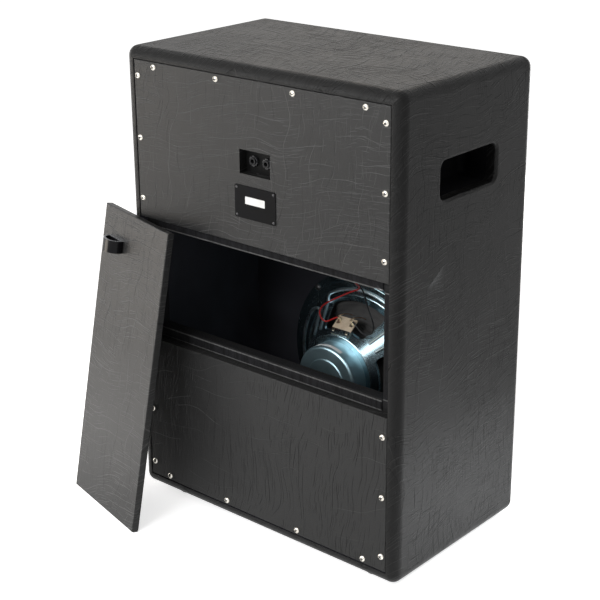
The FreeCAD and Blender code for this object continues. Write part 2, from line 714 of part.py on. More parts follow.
def lean_placement():
    """Lower back edge on the floor, tape against the case's rounded rear right edge."""
    yaw, lean = math.radians(LEAN_YAW_DEG), math.radians(LEAN_DEG)
    away = Vector(math.sin(yaw), math.cos(yaw), 0)
    along = Vector(math.cos(yaw), -math.sin(yaw), 0)
    edge_axis = Vector(CASE_W / 2 - CASE_EDGE_R, REAR_Y - CASE_EDGE_R, 0)
    edge_reach = away.dot(edge_axis) + CASE_EDGE_R + LEAN_CLEARANCE
    contact_height = DOOR_W - TAPE_INSET
    foot_reach = edge_reach + contact_height * math.sin(lean) + TAPE_T * math.cos(lean)
    turn = Rotation(UP, -LEAN_YAW_DEG).multiply(Rotation(Vector(1, 0, 0), LEAN_DEG))
    return Placement(away * foot_reach + along * LEAN_ALONG, turn)


def pull_face():
    """The pull's D outline: a flat base on the panel's face and a rounded crown nearer one end."""
    middle_x = DOOR_H / 2 - PULL_FROM_EDGE - PULL_CHORD / 2
    low_z = DOOR_W - PULL_FROM_TOP - PULL_WIDTH
    corners = [
        (-PULL_CHORD / 2, 0, PULL_ROOT_R),
        (PULL_CHORD / 2, 0, PULL_ROOT_R),
        (PULL_CROWN_W / 2 - PULL_CROWN_SHIFT, PULL_RISE, PULL_CROWN_R),
        (-PULL_CROWN_W / 2 - PULL_CROWN_SHIFT, PULL_RISE, PULL_CROWN_R),
    ]
    return Part.Face(rounded_wire(corners, lambda v: Vector(middle_x + v.x, DOOR_T + v.y, low_z)))


def pull_screw_places():
    """Two screws through the pull's base."""
    x = DOOR_H / 2 - PULL_FROM_EDGE - PULL_CHORD / 2
    z = DOOR_W - PULL_FROM_TOP - PULL_WIDTH / 2
    return [(x + s * PULL_SCREW_SPACING / 2, DOOR_T + PULL_BAND_T, z) for s in (-1, 1)]


def build_door(nodes):
    place = lean_placement()
    holes = [moved(screw_hole(PULL_SCREW), p, REAR) for p in pull_screw_places()]
    panel = edge_rounded(centred_box(DOOR_H, 0, DOOR_T, 0, DOOR_W), DOOR_T)
    panel = cut_all(panel, holes)

    tape_w = DOOR_H - 2 * TAPE_INSET
    z0, z1 = TAPE_INSET, DOOR_W - TAPE_INSET
    tapes = [
        centred_box(tape_w, -TAPE_T, 0, z0, z0 + TAPE_W),
        centred_box(tape_w, -TAPE_T, 0, z1 - TAPE_W, z1),
    ]
    for sign in SIDES.values():
        x0, x1 = sorted((sign * tape_w / 2, sign * (tape_w / 2 - TAPE_W)))
        tapes.append(box(x0, x1, -TAPE_T, 0, z0 + TAPE_W, z1 - TAPE_W))

    face = pull_face()
    band = face.cut(face.makeOffset2D(-PULL_BAND_T))
    pull = cut_all(band.extrude(Vector(0, 0, PULL_WIDTH)), holes)
    screws = [moved(screw(PULL_SCREW), p, REAR) for p in pull_screw_places()]

    door_nodes = {
        "removable_back_panel": panel,
        "hook_tapes": group(tapes),
        "pull_loop": pull,
        "pull_loop_screws": group(screws),
    }
    for name, shape in door_nodes.items():
        shape.Placement = place.multiply(shape.Placement)
        nodes[name] = shape


# Loudspeakers. Own frame: z is the depth behind the baffle's rear face, -y is up

def slope_frame():
    """Start, run and outward normal of the frame's conical flank, as (radius, depth) pairs."""
    run = Vector(FRAME_RING_R + FRAME_T - HUB_R, FRAME_STEP_DEPTH + FRAME_T - HUB_DEPTH, 0).normalize()
    return Vector(HUB_R, HUB_DEPTH, 0), run, Vector(-run.y, run.x, 0)


def on_slope(x, along, above):
    """A point over the flank at the top of the speaker, in the speaker's own frame."""
    start, run, normal = slope_frame()
    spot = start + run * along + normal * above
    return Vector(x, -spot.x, spot.y)


def slope_placement(along, above, x=0.0):
    """Box frame on the flank: y runs outwards along it, z stands off it."""
    _, run, normal = slope_frame()
    turn = Rotation(Vector(-1, 0, 0), Vector(0, -run.x, run.y), Vector(0, -normal.x, normal.y), "XYZ")
    return Placement(on_slope(x, along, above), turn)


def placed(shape, placement):
    copy = shape.copy()
    copy.Placement = placement
    return copy


def strip_rivet_placements():
    x = STRIP_RIVET_SPACING / 2
    return [slope_placement(STRIP_START + STRIP_RIVET_ALONG, STRIP_T, s * x) for s in (-1, 1)]


def bolt_places():
    """The flange's screws as (x, y) from the speaker's centre."""
    turns = [math.radians(360 / BOLT_COUNT * (i + 0.5)) for i in range(BOLT_COUNT)]
    return [(BOLT_CIRCLE_R * math.cos(t), BOLT_CIRCLE_R * math.sin(t)) for t in turns]


def flange_holes():
    return [moved(screw_hole(SPEAKER_SCREW), (x, y, GASKET_T + FRAME_T)) for x, y in bolt_places()]


def speaker_frame():
    inner = [
        (FLANGE_R, GASKET_T, 0),
        (FRAME_WALL_R, GASKET_T, 0),
        (FRAME_WALL_R, FRAME_STEP_DEPTH, FRAME_CORNER_R),
        (FRAME_RING_R, FRAME_STEP_DEPTH, FRAME_BEND_R - FRAME_T),
        (HUB_R - FRAME_T, HUB_DEPTH - FRAME_T, FRAME_CORNER_R),
        (HUB_HOLE_R, HUB_DEPTH - FRAME_T, 0),
    ]
    outer = [
        (HUB_HOLE_R, HUB_DEPTH, 0),
        (HUB_R, HUB_DEPTH, FRAME_CORNER_R + FRAME_T),
        (FRAME_RING_R + FRAME_T, FRAME_STEP_DEPTH + FRAME_T, FRAME_BEND_R),
        (FRAME_WALL_R + FRAME_T, FRAME_STEP_DEPTH + FRAME_T, FRAME_T),
        (FRAME_WALL_R + FRAME_T, GASKET_T + FRAME_T, FRAME_CORNER_R),
        (FLANGE_R, GASKET_T + FRAME_T, FRAME_CORNER_R),
    ]
    frame = revolved(inner + outer)
    reach = FRAME_RING_R / math.cos(math.radians(WINDOW_HALF_DEG))
    turn = math.radians(WINDOW_HALF_DEG)
    low = Vector(reach * math.cos(turn), -reach * math.sin(turn), 0)
    high = Vector(reach * math.cos(turn), reach * math.sin(turn), 0)
    triangle = Part.Face(Part.makePolygon([Vector(), low, high, Vector()]))
    wedge = triangle.extrude(Vector(0, 0, HUB_DEPTH))
    window = tube(WINDOW_OUTER_R, WINDOW_INNER_R, 0, HUB_DEPTH).common(wedge)
    uprights = [e for e in window.Edges if e.BoundBox.ZLength > HUB_DEPTH / 2]
    window = window.makeFillet(WINDOW_CORNER_R, uprights)
    tools = []
    for i in range(WINDOW_COUNT):
        tools.append(window.copy())
        tools[-1].rotate(Vector(), UP, 360 / WINDOW_COUNT * i)
    tools += flange_holes()
    tools += [placed(screw_hole(STRIP_RIVET), p) for p in strip_rivet_placements()]
    return cut_all(frame, tools)


def speaker_gasket():
    return cut_all(tube(FLANGE_R, SPEAKER_HOLE_R, 0, GASKET_T), flange_holes())


def cone_depth(radius):
    """Depth of the cone's front surface at a radius."""
    share = (CONE_EDGE_R - radius) / (CONE_EDGE_R - COIL_R)
    return CONE_EDGE_DEPTH + (CONE_NECK_DEPTH - CONE_EDGE_DEPTH) * share


def speaker_cone():
    """Straight cone with a corrugated edge that runs inside the frame's front wall."""
    rim_r = FRAME_WALL_R - MOVING_FIT
    near, far = wavy_band(CONE_EDGE_R, rim_r, CONE_EDGE_DEPTH, EDGE_WAVES, -EDGE_WAVE_H, CONE_T)
    points = [(COIL_R, CONE_NECK_DEPTH)] + near + far + [(COIL_R, CONE_NECK_DEPTH + CONE_T)]
    return revolved([(r, d, 0) for r, d in points])


def dust_cap():
    """A shallow dome on the front of the cone."""
    sphere_r = (CAP_R ** 2 + CAP_RISE ** 2) / (2 * CAP_RISE)
    half = math.asin(CAP_R / sphere_r) / 2
    rim_d = cone_depth(CAP_R) - CONE_T

    def arc(offset):
        rim = Vector(CAP_R, 0, rim_d + offset)
        top = Vector(0, 0, rim_d - CAP_RISE + offset)
        centre_d = top.z + sphere_r
        middle = Vector(sphere_r * math.sin(half), 0, centre_d - sphere_r * math.cos(half))
        return Part.Arc(rim, middle, top).toShape(), rim, top

    front, front_rim, front_top = arc(0.0)
    rear, rear_rim, rear_top = arc(CONE_T)
    edges = [front, Part.LineSegment(front_top, rear_top).toShape(), rear,
             Part.LineSegment(rear_rim, front_rim).toShape()]
    return Part.Face(Part.Wire(Part.__sortEdges__(edges))).revolve(Vector(), UP, 360)


def voice_coil():
    former_end = WINDING_DEPTH + WINDING_L
    former = tube(COIL_R, COIL_R - FORMER_T, CONE_NECK_DEPTH - FORMER_ABOVE_NECK, former_end)
    return former.fuse(tube(COIL_R + WINDING_T, COIL_R, WINDING_DEPTH, former_end))


def spider():
    """Corrugated ring from the frame's flank to just clear of the coil former."""
    flank = (HUB_DEPTH - FRAME_T - SPIDER_DEPTH - SPIDER_T) / (HUB_DEPTH - FRAME_T - FRAME_STEP_DEPTH)
    seat_r = HUB_R - FRAME_T + flank * (FRAME_RING_R - HUB_R + FRAME_T)
    near, far = wavy_band(COIL_R + MOVING_FIT, seat_r - GLUE_FIT, SPIDER_DEPTH, SPIDER_WAVES,
                          -SPIDER_WAVE_H, SPIDER_T)
    return revolved([(r, d, 0) for r, d in near + far])


def back_plate():
    plate = Part.makeCylinder(BACK_PLATE_R, BACK_PLATE_T, Vector(0, 0, BACK_PLATE_DEPTH))
    return plate.fuse(Part.makeCylinder(POLE_R, BACK_PLATE_DEPTH - HUB_DEPTH, Vector(0, 0, HUB_DEPTH)))


def magnet_cover():
    rear = COVER_DEPTH + COVER_T
    disc = rear + COVER_DISC_H
    inner_r = COVER_R - COVER_T
    return revolved([
        (0, COVER_DEPTH, 0), (inner_r, COVER_DEPTH, COVER_EDGE_R - COVER_T), (inner_r, HUB_DEPTH, 0),
        (COVER_R, HUB_DEPTH, 0), (COVER_R, rear, COVER_EDGE_R),
        (COVER_DISC_R + COVER_DISC_H, rear, COVER_DISC_EDGE_R), (COVER_DISC_R, disc, COVER_DISC_EDGE_R),
        (0, disc, 0)])


def terminal_strip():
    board = centred_box(STRIP_W, 0, STRIP_L, 0, STRIP_T)
    uprights = [e for e in board.Edges if e.BoundBox.ZLength > STRIP_T / 2]
    board = placed(board.makeFillet(STRIP_CORNER_R, uprights), slope_placement(STRIP_START, 0))
    return cut_all(board, [placed(screw_hole(STRIP_RIVET), p) for p in strip_rivet_placements()])


def terminal_lug():
    """A tag that lies on the strip and turns up into a tab."""
    foot = centred_box(LUG_W, -LUG_FOOT_L, 0, 0, LUG_T)
    return foot.fuse(centred_box(LUG_W, -LUG_T, 0, 0, LUG_TAB_H)).removeSplitter()


def lug_end(side):
    """Middle of a lug tab's outer edge in the speaker's own frame; side is 1 for +x."""
    x = side * (LUG_SPACING + LUG_W) / 2
    return on_slope(x, STRIP_START + LUG_ALONG - LUG_T / 2, STRIP_T + LUG_WIRE_H)


def tinsel_leads():
    """Two braids from the back of the cone to beside the lugs, clear of them over the cone's travel."""
    tip = on_slope(0, STRIP_START + LUG_ALONG, STRIP_T + LUG_TAB_H)
    clear_r = -tip.y + TINSEL_D / 2 + MOVING_FIT
    start_d = cone_depth(TINSEL_START_R) + CONE_T / 2
    rise_d = start_d + TINSEL_BEND_SHARE * (tip.z - start_d)
    leads = []
    for side in SIDES.values():
        x = side * LUG_SPACING / 2
        points = [(x, -TINSEL_START_R, start_d), (x, -clear_r, rise_d), (x, -clear_r, tip.z)]
        leads.append(cord(points, TINSEL_D, "tinsel lead"))
    return group(leads)


def build_speakers(nodes):
    parts = {
        "frame": speaker_frame(),
        "gasket": speaker_gasket(),
        "cone": speaker_cone(),
        "dust_cap": dust_cap(),
        "voice_coil": voice_coil(),
        "spider": spider(),
        "tinsel_leads": tinsel_leads(),
        "top_plate": tube(TOP_PLATE_R, TOP_PLATE_HOLE_R, HUB_DEPTH, MAGNET_DEPTH),
        "magnet": tube(MAGNET_R, MAGNET_HOLE_R, MAGNET_DEPTH, BACK_PLATE_DEPTH),
        "back_plate": back_plate(),
        "magnet_cover": magnet_cover(),
        "terminal_strip": terminal_strip(),
    }
    lug_seats = [slope_placement(STRIP_START + LUG_ALONG, STRIP_T, s * LUG_SPACING / 2)
                 for s in SIDES.values()]
    lugs = [placed(terminal_lug(), p) for p in lug_seats]
    rivets = [placed(rivet(STRIP_RIVET), p) for p in strip_rivet_placements()]
    all_lugs = []
    all_rivets = []
    for which in SPEAKER_Z:
        seat = speaker_placement(which)
        for name, shape in parts.items():
            nodes[f"{which}_{name}"] = placed(shape, seat.multiply(shape.Placement))
        all_lugs += [placed(s, seat.multiply(s.Placement)) for s in lugs]
        all_rivets += [placed(s, seat.multiply(s.Placement)) for s in rivets]
    nodes["terminal_lugs"] = group(all_lugs)
    nodes["terminal_rivets"] = group(all_rivets)


def speaker_placement(which):
    return Placement(Vector(0, BAFFLE_Y1, SPEAKER_Z[which]), Rotation(Vector(1, 0, 0), -90))


# Wires from the jack sockets to the speaker terminals

WIRE_ROUTES = {
    "upper": {
        "red": [(18, 88, 604), (22, 62, 601), (28, 36, 605), (34, 8, 614), (38, -16, 626),
                (35, -35, 636), (26, -44.5, 640)],
        "black": [(8, 88, 603), (3, 62, 599), (-7, 36, 602), (-18, 8, 612), (-29, -16, 624),
                  (-33, -35, 635), (-26, -44.5, 640)],
    },
    "lower": {
        "red": [(-10, 88, 602), (-13, 69, 579), (-18, 58, 545), (-24, 51, 505), (-33, 40, 462),
                (-46, 18, 420), (-57, -6, 391), (-50, -27, 371), (-22, -36, 356), (6, -40, 338),
                (27, -41, 325), (41, -43, 314.5), (49, -45, 305), (50.5, -46.5, 296), (46, -47.5, 288.5),
                (38.5, -46, 286.5), (32, -46.5, 290.5), (24.5, -48, 297.5)],
        "black": [(-18, 88, 602), (-23, 68, 580), (-30, 56, 546), (-36, 48, 506), (-40, 34, 463),
                  (-44, 8, 424), (-46, -20, 394), (-48, -38, 366), (-51, -42, 342), (-60, -43, 323),
                  (-63, -45, 307), (-56, -46, 295), (-43, -46, 291.5), (-31, -47, 295)],
    },
}


def build_wires(nodes):
    """Each wire leaves its jack square to the body and is soldered into the edge of its lug."""
    jack_side = {"upper": 1, "lower": -1}
    lug_side = {"red": 1, "black": -1}
    for colour, side in lug_side.items():
        wires = []
        for which, routes in WIRE_ROUTES.items():
            jack_x = jack_side[which] * JACK_SPACING / 2 + side * WIRE_SPACING / 2
            start = Vector(jack_x, JACK_BODY_Y0, JACK_Z)
            lead_out = start - Vector(0, WIRE_LEAD_OUT, 0)
            end = speaker_placement(which).multVec(lug_end(side)) - Vector(side * WIRE_SOLDERED, 0, 0)
            points = [tuple(start), tuple(lead_out)] + routes[colour] + [tuple(end)]
            wires.append(cord(points, WIRE_D, f"{which} {colour} wire"))
        nodes[f"{colour}_speaker_wires"] = group(wires)


def main():
    nodes = {}
    build_case(nodes)
    build_feet(nodes)
    build_handles(nodes)
    build_front(nodes)
    build_back(nodes)
    build_jacks(nodes)
    build_door(nodes)
    build_speakers(nodes)
    build_wires(nodes)
    os.makedirs("parts", exist_ok=True)
    for name, shape in nodes.items():
        shape.exportStep(f"parts/{name}.step")
    print(len(nodes), "nodes")


main()
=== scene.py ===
"""Looks of the guitar speaker cabinet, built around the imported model.

Lengths are in metres, or in millimetres where a heading says mm.
"""

import json
import math

import bmesh
import bpy
from mathutils import Matrix, Vector, noise


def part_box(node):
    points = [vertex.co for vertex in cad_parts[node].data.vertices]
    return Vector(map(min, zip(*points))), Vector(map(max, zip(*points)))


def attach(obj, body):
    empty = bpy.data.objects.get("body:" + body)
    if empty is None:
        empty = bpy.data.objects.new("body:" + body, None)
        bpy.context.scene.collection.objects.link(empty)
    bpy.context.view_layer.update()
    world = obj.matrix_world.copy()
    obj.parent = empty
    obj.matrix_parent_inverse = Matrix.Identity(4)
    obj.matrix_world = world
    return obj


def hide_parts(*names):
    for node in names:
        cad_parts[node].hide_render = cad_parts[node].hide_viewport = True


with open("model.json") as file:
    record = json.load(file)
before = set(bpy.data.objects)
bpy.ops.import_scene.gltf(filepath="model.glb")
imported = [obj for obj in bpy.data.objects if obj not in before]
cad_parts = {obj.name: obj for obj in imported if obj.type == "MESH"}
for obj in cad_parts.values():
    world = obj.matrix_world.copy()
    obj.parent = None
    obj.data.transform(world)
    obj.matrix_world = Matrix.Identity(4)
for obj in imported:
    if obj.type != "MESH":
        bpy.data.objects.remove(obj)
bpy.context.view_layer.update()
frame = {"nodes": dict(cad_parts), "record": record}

NODES = frame["nodes"]
MM = 0.001
TINY = 1e-6

# Camera at the photograph's angle
CAMERA_PLACE = (-1.3790, 1.6467, 1.1759)
CAMERA_AZIMUTH_DEG = 41.007
CAMERA_ELEVATION_DEG = 19.750
CAMERA_ROLL_DEG = -0.468
CAMERA_LENS_MM = 87.404
CAMERA_SENSOR_MM = 36.0
CAMERA_SHIFT_Y = -0.05

# Steps round and along each cord
CORD_BEVEL_STEPS = 4
CORD_RUN_STEPS = 10

# Speaker wires (mm): from a jack tag by a straight lead out and a way through the case to a solder tag.
# Each has the jack tag's x, the solder tag's x and z, the length in metres and the way.
WIRE_D = 2.5
JACK_TAG_Y = 117.5
JACK_TAG_Z = 610.3
LEAD_OUT_Y = 107.5
SOLDER_Y = -49.24
WIRES = {
    "red_wire_upper": (17, 15.75, 640.08, 0.187, [
        (18, 88, 604), (22, 62, 601), (28, 36, 605), (34, 8, 614), (38, -16, 626), (35, -35, 636),
        (26, -44.5, 640)]),
    "red_wire_lower": (-9, 15.75, 306.08, 0.475, [
        (-10, 88, 602), (-13, 69, 579), (-18, 58, 545), (-24, 51, 505), (-33, 40, 462), (-46, 18, 420),
        (-57, -6, 394), (-50, -27, 377), (-22, -36, 363), (6, -40, 346), (27, -41, 333),
        (42, -43, 322), (50, -45, 311), (51, -46.5, 302), (47, -47.5, 295), (39.5, -47, 293),
        (32, -47.5, 296.5), (24.5, -48.5, 301.5)]),
    "black_wire_upper": (9, -15.75, 640.08, 0.191, [
        (8, 88, 603), (3, 62, 599), (-7, 36, 602), (-18, 8, 612), (-29, -16, 624), (-33, -35, 635),
        (-26, -44.5, 640)]),
    "black_wire_lower": (-17, -15.75, 306.08, 0.424, [
        (-18, 88, 602), (-23, 68, 580), (-30, 56, 546), (-36, 48, 506), (-40, 34, 463), (-44, 8, 424),
        (-46, -20, 394), (-48, -38, 366), (-51, -42, 342), (-60, -43, 323), (-63, -45, 307),
        (-56, -46, 295), (-43, -46, 291.5), (-31, -47, 295)]),
}

# Braided leads from each cone to its tags (mm; heights above the speaker's axis; length in metres)
TINSEL_D = 1.2
TINSEL_X = 13.25
TINSEL_ROUTE = [(-85.48, 84.0), (-68.45, 94.78), (-47.64, 94.78)]
TINSEL_LENGTH = 0.0395
SPEAKER_Z = {"upper": 549.0, "lower": 215.0}

# Speaker cone profile (mm; depth is behind the baffle's rear face)
BAFFLE_REAR_Y = -112.8
CONE_NECK_R = 25.5
CONE_NECK_DEPTH = 58.0
CONE_EDGE_R = 126.0
CONE_EDGE_DEPTH = 4.0
CONE_RIM_R = 137.7
CONE_T = 1.5
CONE_RIB_FIRST_R = 62.0
CONE_RIB_PITCH = 8.0
CONE_RIB_COUNT = 8
CONE_RIB_H = 0.7
CONE_RIB_HALF_W = 2.2
EDGE_WAVES = 3
EDGE_WAVE_H = 1.6
CONE_STRAIGHT_STEPS = 110
CONE_EDGE_STEPS = 30
LATHE_STEPS = 144

# Leaning panel's own frame
LEAN = math.radians(10.2)
YAW = math.radians(14.6)

# Tapes
PILE_PITCH = 2.0 * MM
PILE_DEPTH = 0.8 * MM
PILE_TUFTS = ((900.0, 0.6), (260.0, 0.4))
PILE_MEAN = 0.5
PILE_SWING = 0.9
PILE_BORDER = 0.9

# Grille cloth
CLOTH_T = 0.9 * MM
CLOTH_EDGE_R = 2.0 * MM
CLOTH_PITCH = 12.0 * MM
CLOTH_EASE = 0.35 * MM
CLOTH_EASE_SCALE = 9.0
CLOTH_EASE_ROWS = 2
CLOTH_TURN_DEG = (30.0, 60.0, 90.0)
CLOTH_RETURN_SHARES = (0.45, 0.75, 1.0)

# Blank stickers
STICKER_T = 0.15 * MM
PLATE_STICKER = (38.5 * MM, 11.5 * MM, 553.0 * MM)
STICKER_CORNER_R = 0.8 * MM
STICKER_CORNER_STEPS = 4
COVER_R = 58.22 * MM
COVER_STICKER_ARC_DEG = (63.0, 116.0)
COVER_STICKER_FROM_REAR = 7.0 * MM
COVER_STICKER_W = 6.5 * MM
COVER_STICKER_STEPS = 24

# Pull strap
PULL_STEPS = 48
PULL_FULLNESS = 0.85
PULL_INSET_SHARE = 1.25
PULL_CROWN_SHIFT = -4.0 * MM
PULL_BAND_T = 4.2 * MM
PULL_EDGE_R = 1.0 * MM
PULL_SHARP_DEG = 60.0

# Heads of the back panels' screws
SCREW_STEPS = 48
SCREW_RINGS = 20
SCREW_TURN_DEG = 37.0
SCREW_RIM_SHARE = 0.9
CROSS_HALF_W = 0.75 * MM
CROSS_HALF_L = 2.6 * MM
CROSS_DEPTH_SHARE = 0.6
CROSS_TAPER = 0.5

# Pressed ribs round the windows of the speakers' frames (mm)
RIB_R = 2.8
RIB_SIDES = 12
RIB_STEPS = 16
RIB_COUNT = 4
RIB_START_R = 80.0
RIB_RING_R = 127.0
RIB_CORNER_R = 16.0
RIB_LEG_DEG = 39.0
RIB_CORNER_DEG = 8.0
STEP_DEPTH = 18.0

# Steel clamps on the terminal strips (mm, along and above the slope of each speaker's frame)
SLOPE_FOOT_R = 68.0
SLOPE_FOOT_DEPTH = 82.0
SLOPE_RUN = 0.6
SLOPE_RISE = 0.8
CLAMP_HALF_W = 19.4
CLAMP_ALONG = (1.4, 12.0)
CLAMP_ABOVE = (1.62, 2.2)
CLAMP_CUT = 1.8
CLAMP_EDGE_R = 0.15


# Helpers

def add_object(name, data):
    """A new object in the scene."""
    made = bpy.data.objects.new(name, data)
    bpy.context.scene.collection.objects.link(made)
    return made


def mesh_object(name, bm):
    """An object from a finished mesh, with its faces turned outwards."""
    bmesh.ops.recalc_face_normals(bm, faces=bm.faces)
    mesh = bpy.data.meshes.new(name)
    bm.to_mesh(mesh)
    bm.free()
    return add_object(name, mesh)


def shade_smooth(obj, angle_deg=35):
    """Smooth shading that keeps edges sharper than the angle."""
    for face in obj.data.polygons:
        face.use_smooth = True
    obj.data.set_sharp_from_angle(angle=math.radians(angle_deg))


def dress(obj, material):
    """Give an object one finish."""
    obj.data.materials.clear()
    obj.data.materials.append(material)


def two_finishes(obj, main, second):
    """Faces marked for the second finish keep it; the rest take the main one."""
    marked = [face.index for face in obj.data.polygons if face.material_index]
    dress(obj, main)
    obj.data.materials.append(second)
    for index in marked:
        obj.data.polygons[index].material_index = 1


def put(obj, body, material, slot, *replaced, second=None):
    """Give a new piece its finish, its body and the solids that it stands for."""
    if second:
        two_finishes(obj, material, second)
    else:
        dress(obj, material)
    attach(obj, body)
    if replaced:
        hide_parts(*replaced)
    return obj


def bridge(bm, first, second, finish=0):
    """Faces between two closed rings with the same number of points."""
    for i in range(len(first)):
        j = (i + 1) % len(first)
        bm.faces.new((first[i], first[j], second[j], second[i])).material_index = finish


def fill_grid(bm, grid, edge_finish=0):
    """Faces over a grid of points; the first and last row can have a second finish."""
    rows = len(grid[0]) - 1
    for left, right in zip(grid, grid[1:]):
        for j in range(rows):
            face = bm.faces.new((left[j], right[j], right[j + 1], left[j + 1]))
            face.material_index = edge_finish if j in (0, rows - 1) else 0


def grid_rim(grid):
    """A grid's border points, in order round it."""
    columns, rows = len(grid) - 1, len(grid[0]) - 1
    rim = [grid[i][0] for i in range(columns)] + [grid[columns][j] for j in range(rows)]
    return rim + [grid[i][rows] for i in range(columns, 0, -1)] + [grid[0][j] for j in range(rows, 0, -1)]


def islands(node):
    """Corner points of each separate solid in a CAD node."""
    bm = bmesh.new()
    bm.from_mesh(NODES[node].data)
    bmesh.ops.remove_doubles(bm, verts=bm.verts, dist=TINY)
    found = []
    seen = set()
    for start in bm.verts:
        stack = [] if start in seen else [start]
        seen.add(start)
        group = []
        while stack:
            vert = stack.pop()
            group.append(vert.co.copy())
            fresh = [edge.other_vert(vert) for edge in vert.link_edges]
            fresh = [other for other in fresh if other not in seen]
            seen.update(fresh)
            stack += fresh
        if group:
            found.append(group)
    bm.free()
    return sorted(found, key=lambda g: tuple(round(c, 4) for c in sum(g, Vector()) / len(g)))


# Shader nodes

class Nodes:
    """A shader's node tree in the making."""

    def __init__(self, tree):
        self.tree = tree

    def feed(self, socket, value):
        """Give a socket a plain value, or the output of another node."""
        if isinstance(value, bpy.types.NodeSocket):
            self.tree.links.new(value, socket)
        else:
            socket.default_value = value

    def node(self, kind, inputs=None, **settings):
        """Add a node, set it up and return its outputs."""
        made = self.tree.nodes.new(kind)
        for key, value in settings.items():
            setattr(made, key, value)
        for key, value in (inputs or {}).items():
            self.feed(made.inputs[key], value)
        return made.outputs

    def maths(self, operation, *values):
        return self.node("ShaderNodeMath", dict(enumerate(values)), operation=operation)[0]

    def vector(self, operation, *values, output="Vector"):
        return self.node("ShaderNodeVectorMath", dict(enumerate(values)), operation=operation)[output]

    def dot(self, first, second):
        return self.vector("DOT_PRODUCT", first, second, output="Value")

    def span(self, value, low, high, to_low=0.0, to_high=1.0, smooth=False):
        return self.node("ShaderNodeMapRange", {"Value": value, "From Min": low, "From Max": high,
                                                "To Min": to_low, "To Max": to_high},
                         interpolation_type="SMOOTHSTEP" if smooth else "LINEAR")["Result"]


# Materials

# Usual range of a noise, and of two noises added together
NOISE_RANGE = (0.3, 0.7)
TWO_NOISES_RANGE = (0.7, 1.3)


class Look(Nodes):
    """A material in the making, with the model's own coordinates."""

    def __init__(self, name, **sockets):
        self.material = bpy.data.materials.new(name)
        self.material.use_nodes = True
        super().__init__(self.material.node_tree)
        self.shader = next(n for n in self.tree.nodes if n.type == "BSDF_PRINCIPLED")
        self.coordinates = self.node("ShaderNodeTexCoord")
        self.place = self.coordinates["Object"]
        for socket, value in sockets.items():
            self.set(socket.replace("_", " "), value)

    def set(self, name, value):
        self.feed(self.shader.inputs[name], value)

    def noise(self, scale, detail=2.0, vector=None, distortion=0.0, output="Fac"):
        return self.node("ShaderNodeTexNoise", {"Vector": vector or self.place, "Scale": scale,
                                                "Detail": detail, "Distortion": distortion})[output]

    def triple(self, x, y, z):
        return self.node("ShaderNodeCombineXYZ", {"X": x, "Y": y, "Z": z})[0]

    def spread(self, value, to_low, to_high):
        """Lay a noise's usual range over another one."""
        return self.span(value, *NOISE_RANGE, to_low, to_high)

    def spread_two(self, first, second, to_low, to_high):
        """The same for two noises added together."""
        return self.span(self.maths("ADD", first, second), *TWO_NOISES_RANGE, to_low, to_high)

    def ramp(self, value, *stops):
        made = self.node("ShaderNodeValToRGB", {"Fac": value})["Color"]
        elements = made.node.color_ramp.elements
        while len(elements) < len(stops):
            elements.new(1.0)
        for element, (position, colour) in zip(elements, stops):
            element.position = position
            element.color = (*colour, 1.0)
        return made

    def stretched(self, scale, offset=(0.0, 0.0, 0.0)):
        return self.node("ShaderNodeMapping", {"Vector": self.place, "Scale": scale, "Location": offset})[0]

    def bump(self, height, distance, strength=1.0):
        made = self.node("ShaderNodeBump", {"Height": height, "Distance": distance, "Strength": strength})
        self.set("Normal", made["Normal"])


# Covering vinyl: scales per metre, and shares of the relief's height
DRIFT_SCALE = 6.0
DRIFT_REACH = 0.07
PORE_SCALE = 800.0
PORE_HEIGHT = 0.3
PORE_SHADE = 0.4
CRACK_HEIGHT = 0.8
# Painted shade in the cracks, and the ramp's stops for the ground and for the painted highlight on the crests
CRACK_SHADE_COLOUR = 0.001
GROUND_STOP = 0.18
CREST_HIGHLIGHT_STOP = 0.9
BARE_BACK_ROUGHNESS = 0.5

# How far a face has to look up to have folds, and back to be bare
UPWARD_RANGE = (0.6, 0.9)
BACK_RANGE = (-0.6, -0.4)

# Noises along a line (scale, and step from row to row), and the ranges that are used
WANDER_NOISE = (1.0, 3.7)
GAP_NOISE = (1.3, 7.3)
WANDER_RANGE = (0.25, 0.75)
LINE_WANDER = (0.15, 0.85)
GAP_RANGE = (0.48, 0.60)
PATCH_RANGE = (0.38, 0.56)


